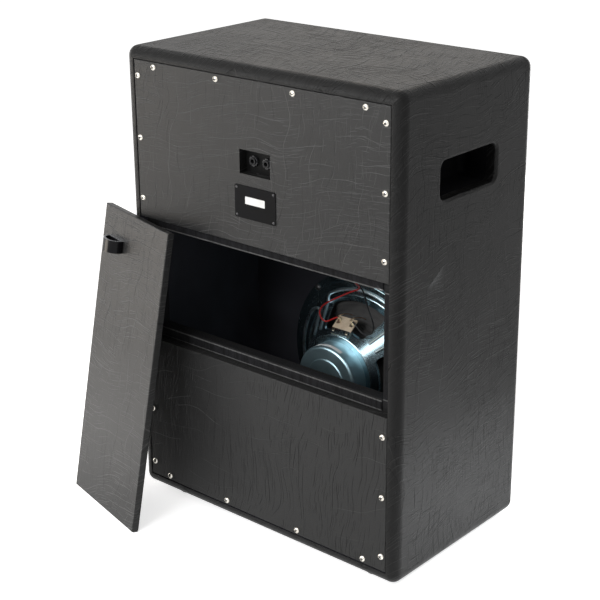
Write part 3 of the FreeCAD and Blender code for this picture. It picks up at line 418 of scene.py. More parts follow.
def vinyl(name, ridges, cracks, folds=(), *, depth, tone, ground, crest_highlight, gloss, rough, dull, bare_back=False):
    """Black covering vinyl: broken rows of fine ridges and dull cracks over pores, with painted shade in the
    cracks and a painted highlight on the ridges.

    Faces that look up can have broad soft folds as well. A panel's back is bare board, painted dull black.
    """
    look = Look(name, Specular_IOR_Level=gloss)
    normal = look.coordinates["Normal"]
    waver = look.noise(DRIFT_SCALE, detail=1.5, output="Color")
    drift = look.vector("SUBTRACT", waver, (0.5, 0.5, 0.5))
    spot = look.vector("ADD", look.place, look.vector("MULTIPLY", drift, (DRIFT_REACH,) * 3))
    raised, cracked = (all_lines(look, spot, sets) for sets in (ridges, cracks))
    pores = look.noise(PORE_SCALE)
    relief = look.maths("SUBTRACT", raised, look.maths("MULTIPLY", cracked, CRACK_HEIGHT))
    height = look.maths("ADD", relief, look.maths("MULTIPLY", pores, PORE_HEIGHT))
    if folds:
        upward = look.span(look.dot(normal, (0.0, 0.0, 1.0)), *UPWARD_RANGE)
        folded = look.maths("MULTIPLY", all_lines(look, spot, folds), upward)
        height = look.maths("ADD", height, folded)
    look.bump(height, distance=depth * MM)
    # Base colour: painted shade in the cracks and a painted highlight on the raised ridges, over the pores'
    # tone
    shade = look.maths("ADD", look.maths("MULTIPLY", pores, PORE_SHADE), look.maths("MULTIPLY", relief, tone))
    stops = ((0.0, CRACK_SHADE_COLOUR), (GROUND_STOP, ground), (CREST_HIGHLIGHT_STOP, crest_highlight))
    look.set("Base Color", look.ramp(shade, *((stop, (grey,) * 3) for stop, grey in stops)))
    roughness = look.maths("ADD", look.spread(pores, *rough), look.maths("MULTIPLY", cracked, dull))
    if bare_back:
        facing = look.dot(normal, (0.0, 1.0, 0.0))
        bare = look.span(facing, *BACK_RANGE, BARE_BACK_ROUGHNESS, 0.0)
        roughness = look.maths("ADD", roughness, bare)
    look.set("Roughness", roughness)
    return look.material


def all_lines(look, spot, sets):
    """The strongest line of several sets of rows, each laid in its own direction."""
    most = None
    for (across, along), rows in sets:
        for row in rows:
            line = broken_lines(look, look.dot(spot, across), look.dot(spot, along), *row)
            most = look.maths("MAXIMUM", most, line) if most else line
    return most


def broken_lines(look, far, run, pitch, half_width, length, share, patch_scale, seed):
    """Rows of wandering lines that stop and start, thicker on the ground in some patches."""
    rows = look.maths("ADD", look.maths("DIVIDE", far, pitch), seed)
    row = look.maths("FLOOR", rows)
    way = look.maths("DIVIDE", run, length)
    wander, gap = (
        look.noise(scale, detail=0.0, vector=look.triple(way, look.maths("MULTIPLY", row, step), seed))
        for scale, step in (WANDER_NOISE, GAP_NOISE))
    middle = look.span(wander, *WANDER_RANGE, *LINE_WANDER)
    off = look.maths("SUBTRACT", look.maths("FRACT", rows), middle)
    line = look.span(look.maths("ABSOLUTE", off), 0.0, half_width / pitch, share, 0.0, smooth=True)
    apart = look.stretched((1.0, 1.0, 1.0), offset=(seed, 0.0, seed))
    patch = look.noise(patch_scale, detail=1.0, vector=apart)
    shown = look.maths("MULTIPLY", look.span(gap, *GAP_RANGE), look.span(patch, *PATCH_RANGE))
    return look.maths("MULTIPLY", line, shown)


# Rows: distance between them, half width, length of a stretch, share, scale of the patches, seed
RIDGE_ROWS = (
    (26.0 * MM, 0.75 * MM, 110.0 * MM, 1.0, 5.0, 0.37),
    (10.0 * MM, 0.65 * MM, 60.0 * MM, 0.9, 8.0, 5.21),
    (4.2 * MM, 0.55 * MM, 26.0 * MM, 0.7, 12.0, 9.83),
)
CRACK_ROWS = (
    (22.0 * MM, 0.50 * MM, 80.0 * MM, 0.8, 4.0, 2.19),
    (7.0 * MM, 0.42 * MM, 30.0 * MM, 0.6, 7.0, 7.43),
)
COARSE_CRACK_ROWS = (
    (15.0 * MM, 0.60 * MM, 60.0 * MM, 0.8, 6.0, 4.61),
    (6.0 * MM, 0.50 * MM, 30.0 * MM, 0.7, 9.0, 8.07),
)
LOW_RIDGE_ROWS = (
    (24.0 * MM, 0.60 * MM, 90.0 * MM, 0.4, 4.0, 2.19),
)
RISING_ROWS = (
    (30.0 * MM, 0.65 * MM, 60.0 * MM, 0.8, 6.0, 3.37),
    (12.0 * MM, 0.55 * MM, 30.0 * MM, 0.6, 9.0, 6.91),
)
TOP_FOLD_ROWS = (
    (18.0 * MM, 2.4 * MM, 70.0 * MM, 1.3, 6.0, 1.53),
    (9.0 * MM, 1.8 * MM, 40.0 * MM, 1.0, 9.0, 6.31),
)
LOWER_CRACK_ROWS = (
    (20.0 * MM, 0.60 * MM, 80.0 * MM, 0.8, 5.0, 0.37),
    (9.0 * MM, 0.50 * MM, 50.0 * MM, 0.7, 8.0, 5.21),
    (4.2 * MM, 0.45 * MM, 24.0 * MM, 0.5, 12.0, 9.83),
)


def painted_wood(name, light, dark):
    """Flat black paint over wood: long grain under a dry, uneven coat."""
    look = Look(name, Specular_IOR_Level=0.15)
    grain = look.noise(scale=60.0, detail=4.0, vector=look.stretched((0.12, 1.0, 1.0)))
    dust = look.noise(scale=420.0)
    look.set("Base Color", look.ramp(grain, (0.3, dark), (0.75, light)))
    look.set("Roughness", look.spread(dust, 0.55, 0.78))
    look.bump(look.maths("ADD", grain, look.maths("MULTIPLY", dust, 0.4)), distance=0.4 * MM, strength=0.6)
    return look.material


def plywood(name):
    """Birch ply, stained dark where the inside of the case is painted."""
    look = Look(name, Specular_IOR_Level=0.3)
    grain = look.noise(scale=40.0, detail=5.0, vector=look.stretched((0.08, 1.0, 0.6)))
    blotch = look.noise(scale=11.0)
    tone = look.maths("ADD", look.maths("MULTIPLY", grain, 0.7), look.maths("MULTIPLY", blotch, 0.3))
    look.set("Base Color", look.ramp(tone, (0.3, (0.012, 0.012, 0.016)), (0.75, (0.032, 0.033, 0.042))))
    look.set("Roughness", look.spread(grain, 0.6, 0.8))
    look.bump(grain, distance=0.3 * MM, strength=0.6)
    return look.material


def moulded(name, light, dark, rough, grain_scale=900.0, depth=0.06, gloss=0.3):
    """Moulded plastic or rubber with a fine even grain and faint flow marks."""
    look = Look(name, Specular_IOR_Level=gloss)
    grain = look.noise(grain_scale)
    flow = look.noise(scale=25.0, distortion=0.4)
    look.set("Base Color", look.ramp(flow, (0.3, dark), (0.7, light)))
    look.set("Roughness", look.spread_two(grain, flow, *rough))
    look.bump(grain, distance=depth * MM, strength=0.6)
    return look.material


def metal(name, light, dark, rough, metallic=1.0, coat=0.0, depth=0.04):
    """Plated, painted or raw metal with fine scratches and patchy gloss."""
    look = Look(name, Metallic=metallic, Coat_Weight=coat, Coat_Roughness=0.12)
    patches = look.noise(scale=21.6, detail=1.0)
    scratches = look.noise(scale=1080.0, detail=3.0, vector=look.stretched((1.0, 1.0, 0.12)))
    look.set("Base Color", look.ramp(patches, (0.25, dark), (0.75, light)))
    look.set("Roughness", look.spread_two(patches, scratches, *rough))
    look.bump(scratches, distance=depth * MM, strength=0.4)
    return look.material


def cone_paper(name):
    """Felted paper pulp: mottled, fibrous and matt."""
    look = Look(name, Specular_IOR_Level=0.35)
    fibre = look.noise(scale=420.0, detail=5.0, distortion=1.2)
    mottle = look.noise(scale=45.0, detail=3.0)
    tone = look.maths("ADD", look.maths("MULTIPLY", fibre, 0.5), look.maths("MULTIPLY", mottle, 0.5))
    look.set("Base Color", look.ramp(tone, (0.3, (0.020, 0.020, 0.021)), (0.72, (0.060, 0.058, 0.056))))
    look.set("Roughness", look.spread(fibre, 0.55, 0.8))
    look.bump(fibre, distance=0.25 * MM, strength=0.7)
    return look.material


def woven(name, light, dark, rough, pitch, depth):
    """Plain weave: two sets of threads that pass over and under each other."""
    look = Look(name, Sheen_Weight=0.15, Sheen_Roughness=0.4, Specular_IOR_Level=0.25)
    parts = look.node("ShaderNodeSeparateXYZ", {"Vector": look.place})
    turns = 2 * math.pi / pitch
    first, second = (look.maths("MULTIPLY", parts[axis], turns) for axis in ("X", "Z"))
    warp, weft = (
        look.maths("MULTIPLY", look.maths("SINE", over),
                   look.maths("COSINE", look.maths("MULTIPLY", under, 0.5)))
        for over, under in ((first, second), (second, first)))
    threads = look.maths("MAXIMUM", look.maths("ABSOLUTE", warp), look.maths("ABSOLUTE", weft))
    slub = look.noise(scale=700.0)
    height = look.maths("ADD", threads, look.maths("MULTIPLY", slub, 0.5))
    look.set("Base Color", look.ramp(look.maths("MULTIPLY", height, 0.7), (0.15, dark), (0.9, light)))
    look.set("Roughness", look.spread(slub, *rough))
    look.bump(height, distance=depth * MM, strength=0.8)
    return look.material


def pile(name, light, dark):
    """Short fuzzy pile, combed one way."""
    look = Look(name, Sheen_Weight=0.04, Sheen_Roughness=0.5, Specular_IOR_Level=0.12)
    tufts = look.noise(scale=520.0, detail=4.0, vector=look.stretched((1.0, 1.0, 0.35)))
    rows = look.noise(scale=160.0, vector=look.stretched((1.0, 1.0, 0.05)))
    tone = look.maths("MULTIPLY", look.maths("ADD", tufts, rows), 0.5)
    look.set("Base Color", look.ramp(tone, (0.35, dark), (0.65, light)))
    look.set("Roughness", look.spread(tufts, 0.75, 0.95))
    look.bump(tufts, distance=0.6 * MM, strength=0.9)
    return look.material


def fibre_board(name):
    """Tan laminated board with a faint speckle."""
    look = Look(name, Specular_IOR_Level=0.4)
    speck = look.noise(scale=500.0, detail=4.0)
    cloud = look.noise(scale=60.0)
    tone = look.maths("MULTIPLY", look.maths("ADD", speck, cloud), 0.5)
    look.set("Base Color", look.ramp(tone, (0.3, (0.46, 0.36, 0.25)), (0.7, (0.66, 0.55, 0.42))))
    look.set("Roughness", look.spread(speck, 0.42, 0.6))
    look.bump(speck, distance=0.08 * MM, strength=0.5)
    return look.material


def paper(name):
    """White label paper with a slight tooth."""
    look = Look(name, Specular_IOR_Level=0.4)
    tooth = look.noise(scale=900.0, detail=3.0)
    shade = look.noise(scale=70.0)
    look.set("Base Color", look.ramp(shade, (0.2, (0.74, 0.74, 0.73)), (0.8, (0.84, 0.84, 0.83))))
    look.set("Roughness", look.spread(tooth, 0.45, 0.6))
    look.bump(tooth, distance=0.03 * MM, strength=0.5)
    return look.material


# Directions of the vinyl's lines: across the rows, and along them
ALONG_X = ((0.12, 0.0, 1.0), (1.0, 0.0, 0.0))
ALONG_Y = ((1.0, 0.15, 1.0), (0.0, 1.0, 0.0))
ALONG_Z = ((1.0, 0.0, 0.12), (0.0, 0.0, 1.0))
ACROSS_Y = ((0.0, 1.0, 0.0), (1.0, 0.0, 1.0))
# crest_highlight is the painted highlight on each vinyl's ridges; the cracks carry painted shade
VINYL = vinyl("covering_vinyl",
              ridges=((ALONG_Y, RIDGE_ROWS), (ACROSS_Y, LOW_RIDGE_ROWS)),
              cracks=((ALONG_Y, COARSE_CRACK_ROWS), (ACROSS_Y, COARSE_CRACK_ROWS)),
              folds=((ALONG_Y, TOP_FOLD_ROWS), (ACROSS_Y, TOP_FOLD_ROWS)),
              depth=0.75, tone=1.0, ground=0.005, crest_highlight=0.015, gloss=0.17, rough=(0.36, 0.47), dull=0.45)
PANEL_VINYL = vinyl("panel_vinyl",
                    ridges=((ALONG_X, RIDGE_ROWS), (ALONG_Z, RISING_ROWS)),
                    cracks=((ALONG_Z, CRACK_ROWS),),
                    depth=0.42, tone=0.8, ground=0.010, crest_highlight=0.062, gloss=0.28, rough=(0.36, 0.48),
                    dull=0.40, bare_back=True)
LOWER_VINYL = vinyl("lower_panel_vinyl",
                    ridges=((ALONG_X, LOW_RIDGE_ROWS),),
                    cracks=((ALONG_Z, LOWER_CRACK_ROWS),),
                    depth=0.90, tone=1.0, ground=0.022, crest_highlight=0.05, gloss=0.20, rough=(0.38, 0.50),
                    dull=0.40, bare_back=True)
BLACK_PAINT = painted_wood("black_paint", (0.012, 0.012, 0.013), (0.005, 0.005, 0.005))
PLYWOOD = plywood("painted_plywood")
GRILLE = woven("grille_weave", (0.13, 0.128, 0.122), (0.010, 0.010, 0.010), rough=(0.77, 0.93),
               pitch=3.2 * MM, depth=0.5)
PILE = pile("tape_pile", (0.014, 0.014, 0.016), (0.001, 0.001, 0.001))
# Painted highlight along the tapes' edges: a lighter pile on their first and last rows
TAPE_EDGE_HIGHLIGHT = pile("tape_edge_highlight", (0.12, 0.12, 0.12), (0.06, 0.06, 0.06))
NICKEL = metal("nickel", (0.80, 0.77, 0.70), (0.60, 0.57, 0.51), rough=(0.16, 0.30))
# Black oxide for the dark screws, and painted shade in the nickel screws' cross recesses
DARK_METAL_AND_RECESS_SHADE = metal("black_oxide_and_recess_shade", (0.075, 0.075, 0.078), (0.035, 0.035, 0.037), rough=(0.30, 0.45),
                   metallic=0.6)
BLACK_PLASTIC = moulded("black_plastic", (0.010, 0.010, 0.011), (0.006, 0.006, 0.007), rough=(0.46, 0.60),
                        gloss=0.2)
RECESS_PLASTIC = moulded("recess_plastic", (0.005, 0.005, 0.005), (0.003, 0.003, 0.003), rough=(0.50, 0.65),
                         gloss=0.08)
NUT_PLASTIC = moulded("nut_plastic", (0.036, 0.036, 0.038), (0.024, 0.024, 0.026), rough=(0.30, 0.42))
CUP_PLASTIC = moulded("cup_plastic", (0.008, 0.008, 0.009), (0.005, 0.005, 0.006), rough=(0.62, 0.75),
                      gloss=0.06)
PULL_PLASTIC = moulded("pull_plastic", (0.007, 0.007, 0.008), (0.004, 0.004, 0.005), rough=(0.12, 0.20),
                       depth=0.015, gloss=0.12)
# Painted highlight on the pull's rims: a bright metal on the strap's edge faces
PULL_EDGE_HIGHLIGHT = metal("pull_edge_highlight", (0.92, 0.94, 0.98), (0.80, 0.83, 0.88), rough=(0.22, 0.32), depth=0.01)
RUBBER = moulded("foot_rubber", (0.036, 0.036, 0.035), (0.020, 0.020, 0.020), rough=(0.65, 0.85),
                 grain_scale=500.0, depth=0.15)
PLATE = moulded("rating_plate", (0.005, 0.005, 0.006), (0.003, 0.003, 0.003), rough=(0.45, 0.60),
                depth=0.02, gloss=0.06)
STEEL = metal("speaker_steel", (0.47, 0.63, 0.69), (0.39, 0.54, 0.60), rough=(0.20, 0.28), coat=0.2,
              depth=0.008)
# A lighter copy of the frame's steel for the window ribs: a painted highlight on the ribs
RIB_STEEL_HIGHLIGHT = metal("rib_steel_highlight", (0.78, 0.88, 0.92), (0.66, 0.77, 0.81), rough=(0.26, 0.34), coat=0.2,
                  depth=0.004)
COVER_STEEL = metal("cover_steel", (0.47, 0.66, 0.73), (0.31, 0.46, 0.52), rough=(0.30, 0.40),
                    metallic=0.90, depth=0.05)
FERRITE = moulded("ferrite", (0.075, 0.075, 0.077), (0.045, 0.045, 0.046), rough=(0.55, 0.75),
                  grain_scale=300.0)
CONE = cone_paper("cone_paper")
FOAM = moulded("gasket_foam", (0.060, 0.060, 0.060), (0.030, 0.030, 0.030), rough=(0.80, 0.95),
               grain_scale=380.0, depth=0.4)
SPIDER = woven("spider_cloth", (0.58, 0.41, 0.20), (0.28, 0.18, 0.08), rough=(0.62, 0.78), pitch=1.6 * MM,
               depth=0.2)
COPPER = metal("copper", (0.78, 0.46, 0.28), (0.55, 0.30, 0.17), rough=(0.25, 0.40))
BOARD = fibre_board("strip_board")
BRASS = metal("tinned_brass", (0.80, 0.76, 0.62), (0.55, 0.50, 0.38), rough=(0.22, 0.36))
RED_SLEEVE = moulded("red_sleeve", (0.46, 0.025, 0.022), (0.33, 0.015, 0.014), rough=(0.30, 0.42),
                     depth=0.03)
BLACK_SLEEVE = moulded("black_sleeve", (0.024, 0.024, 0.025), (0.014, 0.014, 0.015), rough=(0.28, 0.40),
                       depth=0.03)
PAPER = paper("label_paper")

FINISHES = {
    "plywood": PLYWOOD,
    "covering_vinyl": VINYL,
    "panel_vinyl": PANEL_VINYL,
    "painted_wood": BLACK_PAINT,
    "grille_fabric": GRILLE,
    "tape_fabric": PILE,
    "nickel_screws": NICKEL,
    "dark_screws": DARK_METAL_AND_RECESS_SHADE,
    "black_plastic": BLACK_PLASTIC,
    "pull_plastic": PULL_PLASTIC,
    "foot_rubber": RUBBER,
    "rating_plate": PLATE,
    "speaker_steel": STEEL,
    "magnet_ferrite": FERRITE,
    "cone_paper": CONE,
    "gasket_foam": FOAM,
    "spider_cloth": SPIDER,
    "coil_copper": COPPER,
    "strip_board": BOARD,
    "terminal_brass": BRASS,
    "red_wire": RED_SLEEVE,
    "black_wire": BLACK_SLEEVE,
}

# Nodes that have a variant of their slot's finish
NODE_FINISHES = {
    "lower_back_panel": LOWER_VINYL,
    "jack_plate": RECESS_PLASTIC,
    "jack_nuts": NUT_PLASTIC,
    "left_handle_cup": CUP_PLASTIC,
    "right_handle_cup": CUP_PLASTIC,
    "upper_magnet_cover": COVER_STEEL,
    "lower_magnet_cover": COVER_STEEL,
}


def finish_nodes():
    """Each solid takes the finish of its material slot, or its own variant of it."""
    for part in frame["record"]["subparts"]:
        dress(NODES[part["node"]], NODE_FINISHES.get(part["node"], FINISHES[part["material_slot"]]))


# Camera

def place_camera():
    """The azimuth is the way that the camera looks, turned from -Y towards +X."""
    azimuth, elevation, roll = (
        math.radians(a) for a in (CAMERA_AZIMUTH_DEG, CAMERA_ELEVATION_DEG, CAMERA_ROLL_DEG))
    ahead = Vector((math.sin(azimuth) * math.cos(elevation), -math.cos(azimuth) * math.cos(elevation),
                    -math.sin(elevation)))
    right = ahead.cross(Vector((0, 0, 1))).normalized()
    up = right.cross(ahead)
    across = right * math.cos(roll) + up * math.sin(roll)
    upward = up * math.cos(roll) - right * math.sin(roll)
    turn = Matrix((across, upward, -ahead)).transposed()
    data = bpy.data.cameras.new("camera")
    data.lens = CAMERA_LENS_MM
    data.sensor_width = CAMERA_SENSOR_MM
    data.sensor_fit = "HORIZONTAL"
    data.shift_y = CAMERA_SHIFT_Y
    camera = add_object("camera", data)
    camera.matrix_world = Matrix.Translation(CAMERA_PLACE) @ turn.to_4x4()
    bpy.context.scene.camera = camera


# Cords

def cord(name, points, diameter, length, body, material, slot, node, **words):
    """A flexible lead along a smooth spline with the route's points as its control points."""
    curve = bpy.data.curves.new(name, "CURVE")
    curve.dimensions = "3D"
    curve.bevel_depth = diameter / 2
    curve.bevel_resolution = CORD_BEVEL_STEPS
    curve.resolution_u = CORD_RUN_STEPS
    curve.use_fill_caps = True
    spline = curve.splines.new("NURBS")
    spline.points.add(len(points) - 1)
    for control, point in zip(spline.points, points):
        control.co = (*point, 1.0)
    spline.order_u = 3
    spline.use_endpoint_u = True
    piece = put(add_object(name, curve), body, material, slot, node)


def lay_wires():
    """Speaker wires from the jacks to the tags, and the leads of each cone."""
    for name, (jack_x, tag_x, tag_z, length, way) in WIRES.items():
        colour = name.split("_")[0]
        route = [(jack_x, JACK_TAG_Y, JACK_TAG_Z), (jack_x, LEAD_OUT_Y, JACK_TAG_Z)] + way
        route.append((tag_x, SOLDER_Y, tag_z))
        points = [tuple(c * MM for c in p) for p in route]
        cord(name, points, WIRE_D * MM, length, "cabinet", FINISHES[f"{colour}_wire"], f"{colour}_wire",
             f"{colour}_speaker_wires", stiffness="limp", lay="hanging")
    for which, axis_z in SPEAKER_Z.items():
        for side, sign in (("left", -1), ("right", 1)):
            points = [(sign * TINSEL_X * MM, y * MM, (axis_z + z) * MM) for y, z in TINSEL_ROUTE]
            cord(f"{which}_tinsel_{side}", points, TINSEL_D * MM, TINSEL_LENGTH, f"{which}_cone_assembly",
                 COPPER, "coil_copper", f"{which}_tinsel_leads", stiffness="limp", lay="taut")


# Cones

def lathe(name, profile, axis_z):
    """Turn a closed (radius, depth) outline about a speaker's axis."""
    bm = bmesh.new()
    rings = []
    for step in range(LATHE_STEPS):
        turn = 2 * math.pi * step / LATHE_STEPS
        rings.append([bm.verts.new((radius * math.cos(turn) * MM, (BAFFLE_REAR_Y + depth) * MM,
                                    (axis_z + radius * math.sin(turn)) * MM)) for radius, depth in profile])
    for step, ring in enumerate(rings):
        bridge(bm, ring, rings[(step + 1) % LATHE_STEPS])
    made = mesh_object(name, bm)
    shade_smooth(made, angle_deg=50)
    return made


def cone_depth(radius):
    """Depth of the cone's front, with its ring-shaped ribs."""
    share = (CONE_EDGE_R - radius) / (CONE_EDGE_R - CONE_NECK_R)
    rise = 0.0
    for i in range(CONE_RIB_COUNT):
        near = 1 - abs(radius - CONE_RIB_FIRST_R - CONE_RIB_PITCH * i) / CONE_RIB_HALF_W
        if near > 0:
            rise = CONE_RIB_H * near * near * (3 - 2 * near)
    return CONE_EDGE_DEPTH + (CONE_NECK_DEPTH - CONE_EDGE_DEPTH) * share - rise


def cone_outline():
    """Ribbed straight cone with a corrugated edge."""
    front = []
    for i in range(CONE_STRAIGHT_STEPS + 1):
        radius = CONE_NECK_R + (CONE_EDGE_R - CONE_NECK_R) * i / CONE_STRAIGHT_STEPS
        front.append((radius, cone_depth(radius)))
    for i in range(1, CONE_EDGE_STEPS + 1):
        share = i / CONE_EDGE_STEPS
        wave = EDGE_WAVE_H * math.sin(math.pi * EDGE_WAVES * share) ** 2
        front.append((CONE_EDGE_R + (CONE_RIM_R - CONE_EDGE_R) * share, CONE_EDGE_DEPTH - wave))
    return front + [(r, d + CONE_T) for r, d in reversed(front)]


def make_cones():
    """Both cones, each on its own moving body."""
    outline = cone_outline()
    for which, axis_z in SPEAKER_Z.items():
        put(lathe(f"{which}_ribbed_cone", outline, axis_z), f"{which}_cone_assembly", CONE, "cone_paper",
            f"{which}_cone")


# Tapes

def panel_axes():
    """The leaning panel's own directions: across it, out of its face and up it."""
    along = Vector((math.cos(YAW), -math.sin(YAW), 0))
    away = Vector((math.sin(YAW), math.cos(YAW), 0))
    out = away * math.cos(LEAN) + Vector((0, 0, math.sin(LEAN)))
    upwards = Vector((0, 0, math.cos(LEAN))) - away * math.sin(LEAN)
    return [along, out, upwards]


def spans_along(corners, axes):
    """The low and high end of some points along each axis."""
    return [(min(c.dot(a) for c in corners), max(c.dot(a) for c in corners)) for a in axes]


def tape(name, corners, axes):
    """A strip with a fuzzy pile on its far side along the second axis; the pile stays inside the solid."""
    (x0, x1), (y0, y1), (z0, z1) = spans_along(corners, axes)
    columns = max(2, round((x1 - x0) / PILE_PITCH))
    rows = max(2, round((z1 - z0) / PILE_PITCH))
    bm = bmesh.new()

    def point(i, j, y):
        return axes[0] * (x0 + (x1 - x0) * i / columns) + axes[1] * y + axes[2] * (z0 + (z1 - z0) * j / rows)

    grid = []
    for i in range(columns + 1):
        line = []
        for j in range(rows + 1):
            spot = point(i, j, y1)
            fuzz = sum(noise.noise(spot * scale) * share for scale, share in PILE_TUFTS)
            border = i in (0, columns) or j in (0, rows)
            sink = PILE_BORDER if border else min(1.0, max(0.0, PILE_MEAN + PILE_SWING * fuzz))
            line.append(bm.verts.new(point(i, j, y1 - PILE_DEPTH * sink)))
        grid.append(line)
    # The first and last rows take the second finish, the painted highlight on the tape's edges
    fill_grid(bm, grid, edge_finish=1)
    rim = grid_rim(grid)
    foot = [bm.verts.new(v.co - axes[1] * (v.co.dot(axes[1]) - y0)) for v in rim]
    bridge(bm, rim, foot)
    bm.faces.new(foot)
    made = mesh_object(name, bm)
    shade_smooth(made, angle_deg=60)
    return made


def make_tapes():
    """Loop tapes on the rails, and hook tapes on the back of the panel."""
    upright = [Vector((1, 0, 0)), Vector((0, 1, 0)), Vector((0, 0, 1))]
    along, out, upwards = panel_axes()
    for node, axes, body in (("loop_tapes", upright, "cabinet"),
                             ("hook_tapes", [along, -out, upwards], "removable_panel")):
        for i, corners in enumerate(islands(node), 1):
            strip = tape(f"{node[:-1]}_{i}", corners, axes)
            put(strip, body, PILE, "tape_fabric", node, second=TAPE_EDGE_HIGHLIGHT)


# Pull

def make_pull():
    """A strap bent into a rounded loop, with softened edges and a painted highlight on its rims."""
    axes = panel_axes()
    (x0, x1), (y0, y1), (z0, z1) = spans_along(islands("pull_loop")[0], axes)
    bm = bmesh.new()

    def loop(inset, z):
        ring = []
        for step in range(PULL_STEPS + 1):
            turn = math.pi * step / PULL_STEPS
            rise = math.sin(turn) ** PULL_FULLNESS
            reach = math.copysign(abs(math.cos(turn)) ** PULL_FULLNESS, math.cos(turn))
            x = (x0 + x1) / 2 + ((x1 - x0) / 2 - PULL_INSET_SHARE * inset) * reach + PULL_CROWN_SHIFT * rise
            y = y0 + inset + (y1 - y0 - 2 * inset) * rise
            ring.append(bm.verts.new(axes[0] * x + axes[1] * y + axes[2] * z))
        return ring

    outer_low, outer_high, inner_low, inner_high = (
        loop(inset, z) for inset in (0.0, PULL_BAND_T) for z in (z0, z1))
    # Faces with finish 1 are the rims, which take the painted highlight
    for first, second, finish in ((outer_low, outer_high, 0), (outer_high, inner_high, 1),
                                  (inner_high, inner_low, 0), (inner_low, outer_low, 1)):
        bridge(bm, first, second, finish)
    rims = [e for e in bm.edges if e.calc_face_angle() > math.radians(PULL_SHARP_DEG)]
    bmesh.ops.bevel(bm, geom=rims, offset=PULL_EDGE_R, segments=3, affect="EDGES", profile=0.5)
    pull = mesh_object("pull_strap", bm)
    shade_smooth(pull, angle_deg=50)
    put(pull, "removable_panel", PULL_PLASTIC, "pull_plastic", "pull_loop", second=PULL_EDGE_HIGHLIGHT)


# Ribs round the frames' windows

def tube(name, points, radius):
    """A round bar through points that lie close together."""
    bm = bmesh.new()
    rings = []
    side = None
    turns = [2 * math.pi * k / RIB_SIDES for k in range(RIB_SIDES)]
    for i, spot in enumerate(points):
        ahead = (points[min(i + 1, len(points) - 1)] - points[max(i - 1, 0)]).normalized()
        side = (side - ahead * side.dot(ahead)).normalized() if side else ahead.orthogonal().normalized()
        other = ahead.cross(side)
        ring = [spot + (side * math.cos(t) + other * math.sin(t)) * radius for t in turns]
        rings.append([bm.verts.new(corner) for corner in ring])
    for first, second in zip(rings, rings[1:]):
        bridge(bm, first, second)
    bm.faces.new(rings[0])
    bm.faces.new(rings[-1])
    made = mesh_object(name, bm)
    shade_smooth(made, angle_deg=60)
    return made


def rib_route():
    """Half of a rib as (radius, degrees from the window's middle).

    It goes up a leg, round a corner and along the ring.
    """
    leg_end = RIB_RING_R - RIB_CORNER_R
    arc = RIB_LEG_DEG - RIB_CORNER_DEG
    route = [(RIB_START_R + (leg_end - RIB_START_R) * i / RIB_STEPS, RIB_LEG_DEG) for i in range(RIB_STEPS)]
    for i in range(RIB_STEPS):
        turn = math.pi / 2 * i / RIB_STEPS
        route.append((leg_end + RIB_CORNER_R * math.sin(turn), arc + RIB_CORNER_DEG * math.cos(turn)))
    return route + [(RIB_RING_R, arc * (1 - i / RIB_STEPS)) for i in range(RIB_STEPS)]


def make_window_ribs():
    """A round pressed rib along the edge of each window, in lighter steel as a painted highlight."""
    half = rib_route()
    route = half + [(RIB_RING_R, 0.0)] + [(r, -a) for r, a in reversed(half)]
    for which, axis_z in SPEAKER_Z.items():
        for i in range(RIB_COUNT):
            points = []
            for radius, degrees in route:
                turn = math.radians(degrees + 360 / RIB_COUNT * i)
                depth = max(STEP_DEPTH, SLOPE_FOOT_DEPTH - (radius - SLOPE_FOOT_R) * SLOPE_RISE / SLOPE_RUN)
                points.append(Vector((radius * math.cos(turn), BAFFLE_REAR_Y + depth,
                                      axis_z + radius * math.sin(turn))) * MM)
            rib = tube(f"{which}_window_rib_{i + 1}", points, RIB_R * MM)
            put(rib, "cabinet", RIB_STEEL_HIGHLIGHT, "speaker_steel")


# Terminal clamps

def on_slope(x, along, above, axis_z):
    """A point on a frame's slope above its hub."""
    radius = SLOPE_FOOT_R + SLOPE_RUN * along + SLOPE_RISE * above
    depth = SLOPE_FOOT_DEPTH - SLOPE_RISE * along + SLOPE_RUN * above
    return Vector((x, BAFFLE_REAR_Y + depth, axis_z + radius)) * MM


def make_clamps():
    """A thin steel plate over the foot of each terminal strip, under the rivets' heads."""
    low, high = CLAMP_ALONG
    side, cut = CLAMP_HALF_W, CLAMP_CUT
    outline = [(-side, low), (side, low), (side, high - cut), (side - cut, high), (cut - side, high),
               (-side, high - cut)]
    for which, axis_z in SPEAKER_Z.items():
        bm = bmesh.new()
        foot, top = ([bm.verts.new(on_slope(x, along, above, axis_z)) for x, along in outline]
                     for above in CLAMP_ABOVE)
        bm.faces.new(foot)
        bm.faces.new(top)
        bridge(bm, foot, top)
        bmesh.ops.bevel(bm, geom=bm.edges[:], offset=CLAMP_EDGE_R * MM, segments=2, affect="EDGES",
                        profile=0.5)
        clamp = mesh_object(f"{which}_strip_clamp", bm)
        shade_smooth(clamp)
        put(clamp, "cabinet", STEEL, "speaker_steel")


# Screws

